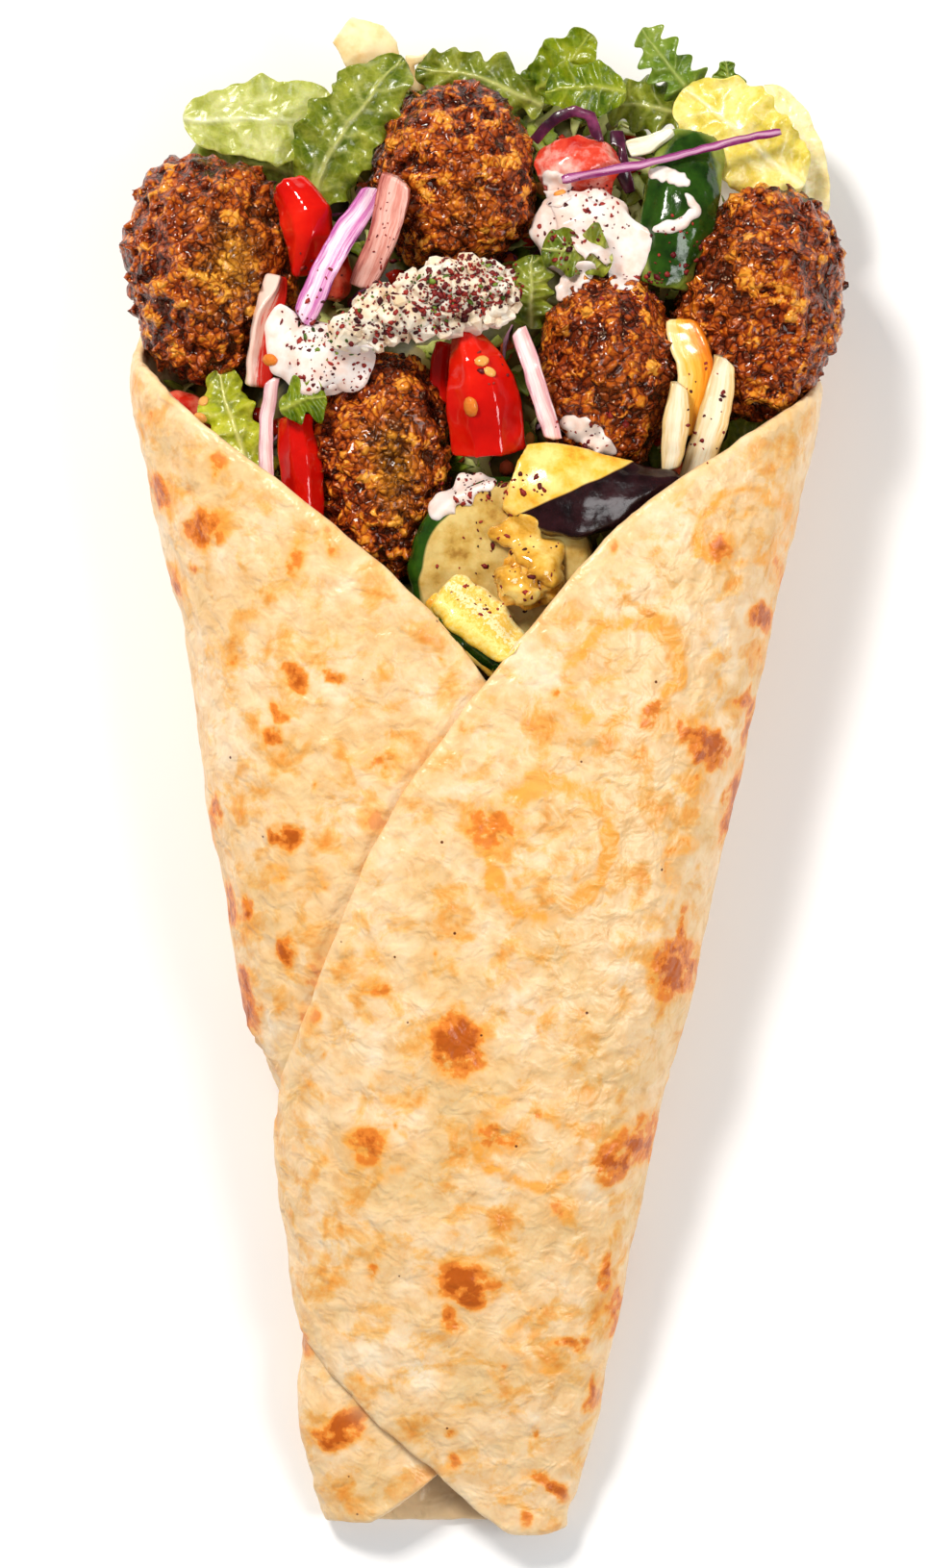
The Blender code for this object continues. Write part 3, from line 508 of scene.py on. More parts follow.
def baked_flatbread():
    """Soft wheat flatbread off a hot plate: floury and cream with a faint sheen of fat, golden round its
    blisters and brown where it touched the plate."""
    material, tree, where, toast, gold, rim, outside = blank(
        "baked_flatbread", "toast", "gold", "rim", "outside")
    cloud = add(tree, "TexNoise", {"Vector": where, "Scale": every(13), "Detail": 5, "Roughness": 0.55})
    spots = add(tree, "TexNoise", {"Vector": where, "Scale": every(7), "Detail": 7, "Roughness": 0.6,
                                   "Distortion": 0.3})
    flake = add(tree, "TexNoise", {"Vector": where, "Scale": every(3.2), "Detail": 7, "Roughness": 0.6})
    grain = add(tree, "TexNoise", {"Vector": where, "Scale": every(1.1), "Detail": 4})
    dough = add(tree, "ValToRGB", {"Fac": cloud}, [
        (0.30, "#E9CA98"), (0.42, "#F1D09E"), (0.54, "#F6D8AE"), (0.68, "#FAE6CA")])
    # Flour that stayed dry is paler, and the fat in thin spots turns gold.
    warm = add(tree, "ValToRGB", {"Fac": spots}, [
        (0.34, "#FFFEF8"), (0.51, "#FEF8EC"), (0.58, "#FCE3B0"), (0.65, "#FACA7C"), (0.74, "#F2AE54")])
    base = add(tree, "MixRGB", {"Fac": 1.0, "Color1": dough, "Color2": warm}, blend_type="MULTIPLY")
    dust = add(tree, "ValToRGB", {"Fac": flake}, [(0.35, "#F4E2CC"), (0.5, "#FCF5EC"), (0.62, "#FFFFFF")])
    base = add(tree, "MixRGB", {"Fac": 0.8, "Color1": base, "Color2": dust}, blend_type="MULTIPLY")
    # Browning creeps out in an uneven front, so the marks' strength is broken up by the flaky noise.
    broken = add(tree, "MapRange", {"Value": flake, "From Min": 0.36, "From Max": 0.62, "To Min": 0.42,
                                    "To Max": 1.35})
    level = add(tree, "Math", {0: toast, 1: broken}, operation="MULTIPLY")
    ring = add(tree, "Math", {0: gold, 1: broken}, operation="MULTIPLY")
    golden = add(tree, "Math", {0: level, 1: ring}, operation="MAXIMUM")
    steps = ((golden, 0.06, 0.54, "#F6AA46"), (level, 0.36, 0.60, "#E8842A"), (level, 0.62, 1.0, "#BE5A0C"))
    colour = base
    for amount, start, full, code in steps:
        share = add(tree, "MapRange", {"Value": amount, "From Min": start, "From Max": full},
                    interpolation_type="SMOOTHSTEP")
        colour = add(tree, "MixRGB", {"Fac": share, "Color1": colour, "Color2": code})
    # Charred specks of bran, about 0.6 mm across and one to about 8 mm.
    bran = add(tree, "TexVoronoi", {"Vector": where, "Scale": every(8.5)})
    speck = add(tree, "ValToRGB", {"Fac": bran}, [(0.028, "#FFFFFF"), (0.04, "#000000")])
    colour = add(tree, "MixRGB", {"Fac": speck, "Color1": colour, "Color2": "#6A3412"})
    edge = add(tree, "Math", {0: rim, 1: 0.4}, operation="MULTIPLY")
    colour = add(tree, "MixRGB", {"Fac": edge, "Color1": colour, "Color2": "#F6D6A2"})
    inside = add(tree, "Math", {0: 1.0, 1: outside}, operation="SUBTRACT")
    colour = add(tree, "MixRGB", {"Fac": inside, "Color1": colour, "Color2": "#EBC898"})
    # Low soft pimples about 2 mm apart, which catch the light one by one.
    pimples = add(tree, "TexNoise", {"Vector": where, "Scale": every(4.2), "Detail": 2.5, "Roughness": 0.5,
                                     "Distortion": 0.4})
    bump = add(tree, "Bump", {"Height": pimples, "Strength": 0.8, "Distance": 1.5 * MM})
    bump = add(tree, "Bump", {"Height": grain, "Strength": 0.3, "Distance": 0.2 * MM, "Normal": bump})
    surface(tree, {"Base Color": colour, "Roughness": 0.33, "IOR": 1.45, "Normal": bump,
                   "Subsurface Weight": 0.1, "Subsurface Scale": 1.0 * MM,
                   "Subsurface Radius": (1.0, 0.6, 0.3)})
    return material


# ---- falafels ----

# For each falafel: how many golden chickpea bits show and where its thin olive patch is, as shares of
# its box from the lower left corner, with the patch's strength.
FALAFELS = {
    "falafel_left": (24, (0.66, 0.52), 0.6),
    "falafel_top": (24, (0.60, 0.34), 0.15),
    "falafel_right": (26, (0.34, 0.62), 0.1),
    "falafel_middle": (16, (0.5, 0.4), 0.1),
    "falafel_low": (20, (0.62, 0.50), 0.6),
}
CRUMBS_PER_SQUARE_MM = 0.22
CRUST_GRAIN = 0.44  # size of the crust's finest shape, mm
PASTE_LUMP = 3.1  # size of the coarse paste's lumps, mm
PATCH_REACH = (0.17, 0.20)  # half width and half length of the olive patch, as shares of the box


def make_falafel(node, finish):
    """A ball of coarse chickpea paste: a craggy core under a coat of fried crumbs and chickpea bits."""
    bits, patch, strength = FALAFELS[node]
    points, normals, faces = rounded(node, 0.62, 6)
    _, border, label = cells(points, PASTE_LUMP)
    # The core is split into lumps, each of its own height and tone.
    crags = 0.9 * eased(0.0, 0.35, border) + 0.6 * label - 0.9
    points = points + normals * (0.5 * lumpy(points, 6.5, 2) + 0.6 * crags)[:, None]
    # Painted shade: the core is darker than the crumbs and darkest in the cracks between its lumps, where it
    # shows deep between them.
    core_tone_and_shade = 0.12 + 0.3 * label * eased(0.05, 0.3, border)

    # Flat crumbs a few millimetres long lie all over it, with a few rounder bits of chickpea on top.
    count = int(sum_area(points, faces) * CRUMBS_PER_SQUARE_MM)
    spots, out = skin_spots(points, faces, count)
    length = 1.1 + 2.3 * CHANCE.random(count) ** 1.5
    width = length * (0.4 + 0.35 * CHANCE.random(count))
    sizes = np.stack([length, width, 0.5 + 0.5 * CHANCE.random(count)], 1)
    crumbs, crumb_faces, owner = strewn(SHARD, spots + out * 0.15, facing(out, 0.42), sizes, 0.2)
    crumb_tone = CHANCE.normal(0.45, 0.15, count) + 0.2 * lumpy(spots, 7, 2, 2.0)

    spots, out = skin_spots(points, faces, bits)
    sizes = (1.1 + 1.0 * CHANCE.random((bits, 1)) ** 2) * (0.75 + 0.5 * CHANCE.random((bits, 3)))
    sizes[:, 2] *= 0.8
    peas, pea_faces, pea_owner = strewn(PEBBLE, spots + out * 0.25, facing(out, 0.35), sizes, 0.06)
    pea_tone = 0.74 + 0.22 * CHANCE.random(bits)

    loose, loose_faces = joined((points, faces), (crumbs, crumb_faces), (peas, pea_faces))
    tones = np.concatenate([core_tone_and_shade, crumb_tone[owner], pea_tone[pea_owner]])
    all_points, all_faces, nearest = fused(loose, loose_faces, CRUST_GRAIN)
    tone = tones[nearest]
    low, high = box_of(node)
    away = np.hypot(*((all_points[:, :2] - spot_on(node, *patch)) / (high - low)[:2] / PATCH_REACH).T)
    away = away * (1 + 0.4 * lumpy(all_points, 5, 1, 8.0))
    olive = strength * np.exp(-(away**2)) * (all_points[:, 2] > (low[2] + high[2]) / 2)
    # Painted shade: how near each point lies to the outline seen from above, which darkens the crust on the
    # sides that turn from the light.
    centre = (low + high) / 2
    edge = np.linalg.norm((all_points - centre)[:, :2] / ((high - low)[:2] / 2), axis=1)
    piece(node + "_crust", all_points, all_faces, finish, "fried_falafel_crust", [node],
          tone=tone, olive=olive, edge=eased(0.55, 1.05, edge))


def fused(points, faces, voxel):
    """Overlapping bits as one skin: its points and faces, and for each point the nearest one before."""
    mesh = bpy.data.meshes.new("loose")
    mesh.from_pydata((points * MM).tolist(), [], [tuple(f) for f in faces])
    remesh = ("REMESH", {"mode": "VOXEL", "voxel_size": voxel * MM})
    skin, _, skin_faces = arrays_of(evaluated(mesh, remesh, ("SMOOTH", {"factor": 0.3, "iterations": 1})))
    tree = KDTree(len(points))
    for i, p in enumerate(points):
        tree.insert(p, i)
    tree.balance()
    return skin, skin_faces, np.array([tree.find(p)[1] for p in skin])


def sum_area(points, faces):
    """The area of a skin of triangles and quads, in square millimetres."""
    total = 0.0
    for f in faces:
        a, b, c = points[f[0]], points[f[1]], points[f[2]]
        total += np.linalg.norm(np.cross(b - a, c - a)) * (1.0 if len(f) == 4 else 0.5)
    return total


def fried_crumb():
    """Deep-fried chickpea crumb: hard, oily and dark brown, with golden bits where whole peas show."""
    material, tree, where, tone, olive, edge = blank("fried_crumb", "tone", "olive", "edge")
    speckle = add(tree, "TexNoise", {"Vector": where, "Scale": every(1.2), "Detail": 4})
    shift = add(tree, "MapRange", {"Value": speckle, "From Min": 0.3, "From Max": 0.7, "To Min": -0.09,
                                   "To Max": 0.09})
    level = add(tree, "Math", {0: tone, 1: shift}, operation="ADD")
    # The coat is broken chickpea, in angular bits about 1.7 mm across, with painted shade darkening the
    # grooves between them.
    warp = add(tree, "TexNoise", {"Vector": where, "Scale": every(2.5), "Detail": 2})
    bent = add(tree, "MixRGB", {"Fac": 0.0016, "Color1": where, "Color2": warp}, blend_type="ADD")
    bits = add(tree, "TexVoronoi", {"Vector": bent, "Scale": every(1.7)})
    grooves = add(tree, "TexVoronoi", {"Vector": bent, "Scale": every(1.7)}, feature="DISTANCE_TO_EDGE")
    own = add(tree, "SeparateColor", {"Color": bits.outputs["Color"]})
    level = add(tree, "Math", {0: own.outputs[0], 1: 0.26, 2: level}, operation="MULTIPLY_ADD")
    # Painted shade: the crust is darker down in the grooves between the bits.
    groove_shade = add(tree, "MapRange", {"Value": grooves, "From Min": 0.0, "From Max": 0.16, "To Min": -0.28,
                                  "To Max": 0.0})
    level = add(tree, "Math", {0: level, 1: groove_shade}, operation="ADD")
    # Painted shade: the crust is darkened towards the outline seen from above, where its sides turn from the
    # light.
    darker = add(tree, "Math", {0: edge, 1: 0.08}, operation="MULTIPLY")
    level = add(tree, "Math", {0: level, 1: darker}, operation="SUBTRACT")
    crust = add(tree, "ValToRGB", {"Fac": level}, [
        (0.05, "#300A04"), (0.26, "#66200A"), (0.44, "#983A0E"), (0.60, "#C05A16"), (0.76, "#DE8420"),
        (0.96, "#F4A43A")])
    patch = add(tree, "ValToRGB", {"Fac": level}, [(0.1, "#5C2E04"), (0.45, "#B07A1A"), (0.9, "#E8B440")])
    colour = add(tree, "MixRGB", {"Fac": olive, "Color1": crust, "Color2": patch})
    rough = add(tree, "MapRange", {"Value": speckle, "From Min": 0.35, "From Max": 0.65, "To Min": 0.12,
                                   "To Max": 0.34})
    facet = add(tree, "MapRange", {"Value": grooves, "From Min": 0.0, "From Max": 0.3})
    facet = add(tree, "Math", {0: own.outputs[1], 1: 0.9, 2: facet}, operation="MULTIPLY_ADD")
    bump = add(tree, "Bump", {"Height": facet, "Strength": 0.7, "Distance": 0.7 * MM})
    bump = add(tree, "Bump", {"Height": speckle, "Strength": 0.5, "Distance": 0.35 * MM, "Normal": bump})
    surface(tree, {"Base Color": colour, "Roughness": rough, "IOR": 1.47, "Normal": bump,
                   "Specular Tint": "#FFDCB4", "Coat Weight": 0.4, "Coat Roughness": 0.06})
    return material


# ---- leaves ----

LEAF_ROWS, LEAF_COLUMNS = 72, 30
LEAF_THICKNESS = 0.45
RIB_WIDTH = 0.5
FRILL = 1.12  # width of the wavy blade, as a share of its CAD solid's


def make_leaf(node, finish, slot, lobes, lobe, ruffle, waves, ribs, phase, torn, turn):
    """A leaf with a midrib, side veins that bow towards its tip, puckers between them and a wavy rim."""
    run = Run(node, turn=turn)
    t = np.linspace(0, 1, LEAF_ROWS)
    v = np.linspace(-1, 1, LEAF_COLUMNS)
    centre, side, up, half, _ = run.at(t)
    half = (half * FRILL + 0.4) * (0.12 + 0.88 * (1 - abs(2 * t - 1) ** 7) ** 0.5)
    tt, vv = np.meshgrid(t, v, indexing="ij")
    flat = np.stack([tt.ravel() * run.length, (vv * half[:, None]).ravel(), 0 * tt.ravel() + phase * 40], 1)
    rough, curl, stray = (lumpy(flat, size, 2, phase).reshape(tt.shape) for size in (3.2, 9.0, 6.0))
    wave = np.sin(2 * np.pi * (lobes * tt + 0.31 * (vv > 0) + phase) + 1.5 * curl)
    reach = half[:, None] * (1 + (lobe * wave + torn * rough) * abs(vv) ** 2)
    # Side veins leave the midrib by turns and bow towards the tip, and the blade puffs up between them.
    vein_line = tt * ribs - abs(vv) * 1.2 + 0.35 * vv**2 + 0.4 * (vv > 0) + 0.55 * stray
    nearest = abs(vein_line - np.round(vein_line))
    veins = np.exp(-((nearest / 0.09) ** 2)) * (1 - abs(vv) ** 2) * (0.35 + 0.3 * stray)
    midrib = np.exp(-(((vv * half[:, None] + 0.6 * curl) / (RIB_WIDTH * (1.3 - tt))) ** 2))
    lift = (0.25 - nearest) * 0.8 * (1 - midrib) + 0.5 * rough + ruffle * 0.9 * curl * (0.3 + abs(vv))
    lift += ruffle * abs(vv) ** 2.2 * np.sin(2 * np.pi * (waves * tt + 0.4 * (vv > 0) + phase) + 2 * curl)
    lift += 0.35 * midrib
    grid = centre[:, None] + side[:, None] * (reach * vv)[..., None] + up[:, None] * lift[..., None]
    ups = np.repeat(up[:, None], LEAF_COLUMNS, axis=1)
    points, faces = thick_sheet(grid, ups, LEAF_THICKNESS)
    vein = np.clip(np.maximum(veins, 0.8 * midrib), 0, 1)
    piece(node + "_blade", points, faces, finish, slot, [node], vein=np.tile(vein.ravel(), 2))


def leaf_finish(name, dark, blade, light, vein_code, sheen):
    """Fresh leaf, cut and rinsed: satin and thin enough to glow, with paler veins and darker puckers."""
    material, tree, where, vein = blank(name, "vein")
    cloud = add(tree, "TexNoise", {"Vector": where, "Scale": every(6), "Detail": 5, "Roughness": 0.65})
    # Net of the smallest veins, about 2 mm apart, that puffs the blade up between them.
    bent = add(tree, "MixRGB", {"Fac": 0.0025, "Color1": where, "Color2": cloud}, blend_type="ADD")
    net = add(tree, "TexVoronoi", {"Vector": bent, "Scale": every(2.2)}, feature="DISTANCE_TO_EDGE")
    colour = add(tree, "ValToRGB", {"Fac": cloud}, [(0.34, dark), (0.5, blade), (0.66, light)])
    lines = add(tree, "ValToRGB", {"Fac": net}, [(0.0, "#5A5A5A"), (0.12, "#000000")])
    colour = add(tree, "MixRGB", {"Fac": lines, "Color1": colour, "Color2": vein_code})
    colour = add(tree, "MixRGB", {"Fac": vein, "Color1": colour, "Color2": vein_code})
    bump = add(tree, "Bump", {"Height": net, "Strength": 0.5, "Distance": 0.5 * MM})
    bump = add(tree, "Bump", {"Height": cloud, "Strength": 0.4, "Distance": 0.8 * MM, "Normal": bump})
    surface(tree, {"Base Color": colour, "Roughness": sheen, "IOR": 1.42, "Normal": bump,
                   "Subsurface Weight": 0.3, "Subsurface Scale": 0.8 * MM,
                   "Subsurface Radius": (0.7, 1.0, 0.2), "Coat Weight": 0.25, "Coat Roughness": 0.12})
    return material


# ---- strips of onion, cabbage and pepper ----

STRIP_ROWS, STRIP_CORNERS = 56, 24
SQUARENESS = 0.5  # exponent of a strip's section: 1 is round, and less is squarer


def make_strip(node, finish, slot, depth=1.0, wide=1.0, slant=0.0):
    """A strip with slanted cut ends and faint ridges, along the run of its CAD solid."""
    run = Run(node)
    t = np.linspace(0, 1, STRIP_ROWS)
    turns = np.linspace(0, 2 * np.pi, STRIP_CORNERS, endpoint=False)
    across = np.sign(np.cos(turns)) * abs(np.cos(turns)) ** SQUARENESS
    rise = np.sign(np.sin(turns)) * abs(np.sin(turns)) ** SQUARENESS
    rise = rise * (1 + 0.10 * np.cos(across * 7)) + 0.35 * across**2
    places = np.clip(t[:, None] + slant * across[None] * (2 * t[:, None] - 1) * 0.04, 0, 1)
    centre, side, up, half, deep = run.at(places)
    ends = (0.8 + 0.2 * (1 - abs(2 * t - 1) ** 40) ** 0.5)[:, None]
    deep = np.clip(deep, 0.5, 1.1) * depth
    points = centre + side * (across * half * wide * ends)[..., None]
    points = points + up * (rise * deep * ends)[..., None]
    points = points.reshape(-1, 3)
    points = points + 0.3 * np.stack([lumpy(points, 5, 2, s) for s in (1.0, 2.0, 3.0)], 1)
    rings = np.arange(STRIP_ROWS * STRIP_CORNERS).reshape(STRIP_ROWS, STRIP_CORNERS)
    faces = [
        (here[c], here[c - STRIP_CORNERS + 1], ahead[c - STRIP_CORNERS + 1], ahead[c])
        for here, ahead in zip(rings.tolist(), rings[1:].tolist())
        for c in range(STRIP_CORNERS)
    ]
    faces += [tuple(reversed(rings[0].tolist())), tuple(rings[-1].tolist())]
    piece(node + "_cut", points, faces, finish, slot, [node],
          along=np.repeat(t, STRIP_CORNERS), across=np.tile(across, STRIP_ROWS))


def striped_finish(name, stops, rough=0.22, clear=0.3, length=1.3):
    """A juicy cut strip: wet and half clear, with streaks along its length. The stops give its colours
    from one long edge, at 0, to the other, at 1."""
    material, tree, _, along, across = blank(name, "along", "across")
    spread = add(tree, "CombineXYZ", {"X": add(tree, "Math", {0: across, 1: 2.2}, operation="MULTIPLY"),
                                      "Y": add(tree, "Math", {0: along, 1: length}, operation="MULTIPLY")})
    fibre = add(tree, "TexNoise", {"Vector": spread, "Scale": 2.2, "Detail": 5, "Roughness": 0.65})
    stray = add(tree, "MapRange", {"Value": fibre, "From Min": 0.3, "From Max": 0.7, "To Min": 0.3,
                                   "To Max": 0.7})
    place = add(tree, "Math", {0: across, 1: 0.5, 2: stray}, operation="MULTIPLY_ADD")
    colour = add(tree, "ValToRGB", {"Fac": place}, stops)
    bump = add(tree, "Bump", {"Height": fibre, "Strength": 0.45, "Distance": 0.4 * MM})
    surface(tree, {"Base Color": colour, "Roughness": rough, "IOR": 1.38, "Normal": bump,
                   "Subsurface Weight": clear, "Subsurface Scale": 1.2 * MM,
                   "Subsurface Radius": (1.0, 0.7, 0.6), "Coat Weight": 0.4, "Coat Roughness": 0.1})
    return material


# ---- chunks: peppers, tomatoes, cucumber, courgette, aubergine ----


def make_chunk(node, finish, slot, voxel=0.5, rounds=5, relief=0.3, size=4.0, cut=(0.5, 0.5, 0)):
    """A cut chunk with eased corners and a slightly uneven skin. Its marks run from -1 to 1 across it
    and up from its middle in millimetres. beyond is how far a point lies below the cut, a line through
    a place given as shares of the box, with its slope in degrees."""
    points, normals, faces = rounded(node, voxel, rounds)
    run = Run(node, steps=5)
    centre, side, up, half, _ = run.at(np.array([0.5]))
    across = ((points - centre[0]) @ side[0]) / half[0]
    upward = (points - centre[0]) @ up[0]
    slope = math.radians(cut[2])
    beyond = (points[:, :2] - spot_on(node, *cut[:2])) @ (math.sin(slope), -math.cos(slope))
    moved = points + normals * (relief * lumpy(points, size, 2))[:, None]
    piece(node + "_piece", moved, faces, finish, slot, [node], across=across, upward=upward, beyond=beyond)


def wet_flesh(name, body, deep, pale, rough=0.14, glow=(1.0, 0.25, 0.1), scale=5.0):
    """Pepper, tomato or other wet flesh: glossy and deep in colour, with paler patches."""
    material, tree, where = blank(name)
    cloud = add(tree, "TexNoise", {"Vector": where, "Scale": every(scale), "Detail": 4, "Roughness": 0.6})
    grain = add(tree, "TexNoise", {"Vector": where, "Scale": every(0.7), "Detail": 2})
    colour = add(tree, "ValToRGB", {"Fac": cloud}, [(0.32, deep), (0.5, body), (0.72, pale)])
    bump = add(tree, "Bump", {"Height": cloud, "Strength": 0.4, "Distance": 0.6 * MM})
    bump = add(tree, "Bump", {"Height": grain, "Strength": 0.12, "Distance": 0.2 * MM, "Normal": bump})
    surface(tree, {"Base Color": colour, "Roughness": rough, "IOR": 1.4, "Normal": bump,
                   "Subsurface Weight": 0.25, "Subsurface Scale": 1.5 * MM, "Subsurface Radius": glow,
                   "Coat Weight": 0.6, "Coat Roughness": 0.06})
    return material


def split_finish(name, skin, skin_light, flesh, flesh_deep, browned, key, start, full, rough=0.22,
                 stray=0.06, coat=0.4):
    """A vegetable with its peel on one side and flesh on the other: glossy peel, moist browned flesh.
    The peel starts where the mark called key passes start and is whole at full, give or take stray."""
    material, tree, where, place = blank(name, key)
    cloud = add(tree, "TexNoise", {"Vector": where, "Scale": every(4.5), "Detail": 5, "Roughness": 0.6})
    grain = add(tree, "TexNoise", {"Vector": where, "Scale": every(1.1), "Detail": 3})
    sway = add(tree, "TexNoise", {"Vector": where, "Scale": every(9), "Detail": 1})
    wander = add(tree, "MapRange", {"Value": sway, "From Min": 0.3, "From Max": 0.7, "To Min": -stray,
                                    "To Max": stray})
    edge = add(tree, "Math", {0: place, 1: wander}, operation="ADD")
    peel = add(tree, "MapRange", {"Value": edge, "From Min": start, "From Max": full})
    inside = add(tree, "ValToRGB", {"Fac": cloud}, [(0.3, browned), (0.42, flesh_deep), (0.62, flesh)])
    outside = add(tree, "ValToRGB", {"Fac": cloud}, [(0.35, skin), (0.68, skin_light)])
    colour = add(tree, "MixRGB", {"Fac": peel, "Color1": inside, "Color2": outside})
    bump = add(tree, "Bump", {"Height": grain, "Strength": 0.25, "Distance": 0.2 * MM})
    bump = add(tree, "Bump", {"Height": cloud, "Strength": 0.4, "Distance": 0.7 * MM, "Normal": bump})
    surface(tree, {"Base Color": colour, "Roughness": rough, "IOR": 1.4, "Normal": bump,
                   "Subsurface Weight": 0.12, "Subsurface Scale": 1.0 * MM, "Coat Weight": coat,
                   "Coat Roughness": 0.08})
    return material


# ---- yogurt, feta and seasoning ----


def cream(name, colour_code, shade_code, rough):
    """Strained yogurt or fresh cheese: dense, white and soft, with light passing a little way in."""
    material, tree, where = blank(name)
    cloud = add(tree, "TexNoise", {"Vector": where, "Scale": every(3), "Detail": 4})
    colour = add(tree, "ValToRGB", {"Fac": cloud}, [(0.35, shade_code), (0.6, colour_code)])
    bump = add(tree, "Bump", {"Height": cloud, "Strength": 0.3, "Distance": 0.5 * MM})
    surface(tree, {"Base Color": colour, "Roughness": rough, "IOR": 1.35, "Normal": bump,
                   "Subsurface Weight": 0.5, "Subsurface Scale": 2.0 * MM,
                   "Subsurface Radius": (1.0, 0.9, 0.8)})
    return material


def make_feta(finish):
    """Crumbled feta: a small core under irregular curds of 1 to 5 mm."""
    points, normals, faces = rounded("feta", 0.6, 3)
    core = points - normals * 0.9
    spots, out = skin_spots(points, faces, 210)
    keep = out[:, 2] > -0.3
    spots, out = spots[keep], out[keep]
    size = 0.7 + 2.2 * CHANCE.random(len(spots)) ** 1.8
    sizes = size[:, None] * (0.6 + 0.7 * CHANCE.random((len(spots), 3)))
    curds, curd_faces, _ = strewn(CHUNK, spots - out * 0.7, facing(out, 0.8), sizes, 0.14)
    all_points, all_faces = joined((core, faces), (curds, curd_faces))
    piece("feta_curds", all_points, all_faces, finish, "crumbled_feta", ["feta"], flat=True)


FILM_ROWS, FILM_COLUMNS = 48, 15
DROOP = 3.0  # how far a film may sink into a gap below the pieces that carry it, mm


def make_film(name, node, path, finish, slot, height=0.7, phase=0.0, rough=0.0, bay=0.5, blunt=5):
    """Sauce or soft flesh that clings to what lies beneath it. The path's rows are shares of the node's
    box and the half width, bay is how far its sides wander, and blunt ends are square when it is big."""
    path = np.array([(*spot_on(node, across, up), half) for across, up, half in path])
    steps = np.linspace(0, 1, len(path))
    t = np.linspace(0, 1, FILM_ROWS)
    line = np.stack([np.interp(t, steps, path[:, i]) for i in range(3)], 1)
    for _ in range(FILM_ROWS // len(path)):
        line[1:-1] = (line[:-2] + 2 * line[1:-1] + line[2:]) / 4
    ahead = np.gradient(line[:, :2], axis=0)
    ahead /= np.linalg.norm(ahead, axis=1)[:, None]
    v = np.linspace(-1, 1, FILM_COLUMNS)
    ends = (1 - abs(2 * t - 1) ** blunt) ** 0.5
    half = line[:, 2] * (0.1 + 0.9 * ends)
    # Each side wanders on its own, and the film follows what it lies on but bridges narrow gaps.
    bays = np.array([[noise.noise(Vector((a * 7, b, phase))) for b in (-1.0, 1.0)] for a in t])
    reach = half[:, None] * v * (1 + bay * np.where(v < 0, bays[:, :1], bays[:, 1:]))
    x = line[:, :1] - ahead[:, 1:] * reach
    y = line[:, 1:2] + ahead[:, :1] * reach
    met = [[plumb(a, b) for a, b in zip(*row)] for row in zip(x, y)]
    z = np.array([[m[0][2] if m else 0.0 for m in row] for row in met])
    z = np.maximum(z, np.percentile(z, 70) - DROOP)
    for _ in range(6):
        soft = z.copy()
        soft[1:-1] = (z[:-2] + 2 * z[1:-1] + z[2:]) / 4
        soft[:, 1:-1] = (soft[:, :-2] + 2 * soft[:, 1:-1] + soft[:, 2:]) / 4
        z = np.maximum(soft, z - 0.35)
    crown = height * (np.sqrt(1 - v**2 * 0.98) * (0.2 + 0.8 * ends)[:, None])
    if rough:
        spots = np.stack([x.ravel(), y.ravel(), 0 * x.ravel()], 1)
        crown = crown + rough * lumpy(spots, 3.5, 3, phase).reshape(x.shape) * (1 - v**2)
    points, faces = closed_grid(np.stack([x, y, z + crown], -1), np.stack([x, y, z - 0.5], -1))
    piece(name, points, faces, finish, slot,
          along=np.tile(np.repeat(t, FILM_COLUMNS), 2), across=np.tile(v, 2 * FILM_ROWS))


def tinted(name, low, middle, high, rough=0.5):
    """Small dry or fresh bits whose tone changes from one to the next."""
    material, tree, where, tone = blank(name, "tone")
    grain = add(tree, "TexNoise", {"Vector": where, "Scale": every(0.6), "Detail": 3})
    level = add(tree, "Math", {0: tone, 1: add(tree, "Math", {0: grain, 1: 0.4}, operation="MULTIPLY")},
                operation="ADD")
    colour = add(tree, "ValToRGB", {"Fac": level}, [(0.2, low), (0.6, middle), (1.1, high)])
    bump = add(tree, "Bump", {"Height": grain, "Strength": 0.3, "Distance": 0.2 * MM})
    surface(tree, {"Base Color": colour, "Roughness": rough, "IOR": 1.4, "Normal": bump})
    return material


def plumb(x, y, height=120.0, heading=(0, 0, -1)):
    """Where a straight line meets the pieces made so far: the spot, its normal and the piece's name."""
    graph = bpy.context.evaluated_depsgraph_get()
    hit, spot, normal, _, found, _ = bpy.context.scene.ray_cast(
        graph, Vector((x, y, height)) * MM, Vector(heading))
    return (np.array(spot) / MM, np.array(normal), found.name) if hit else None


def landed(met, on=None, off=("floor",)):
    """The spots and normals of the lines that met the right piece, and which of the lines those are."""
    kept = [i for i, m in enumerate(met) if m and m[2] not in off and on in (None, m[2])]
    spots, normals = (np.array([met[i][part] for i in kept]) for part in (0, 1))
    return spots, normals, kept


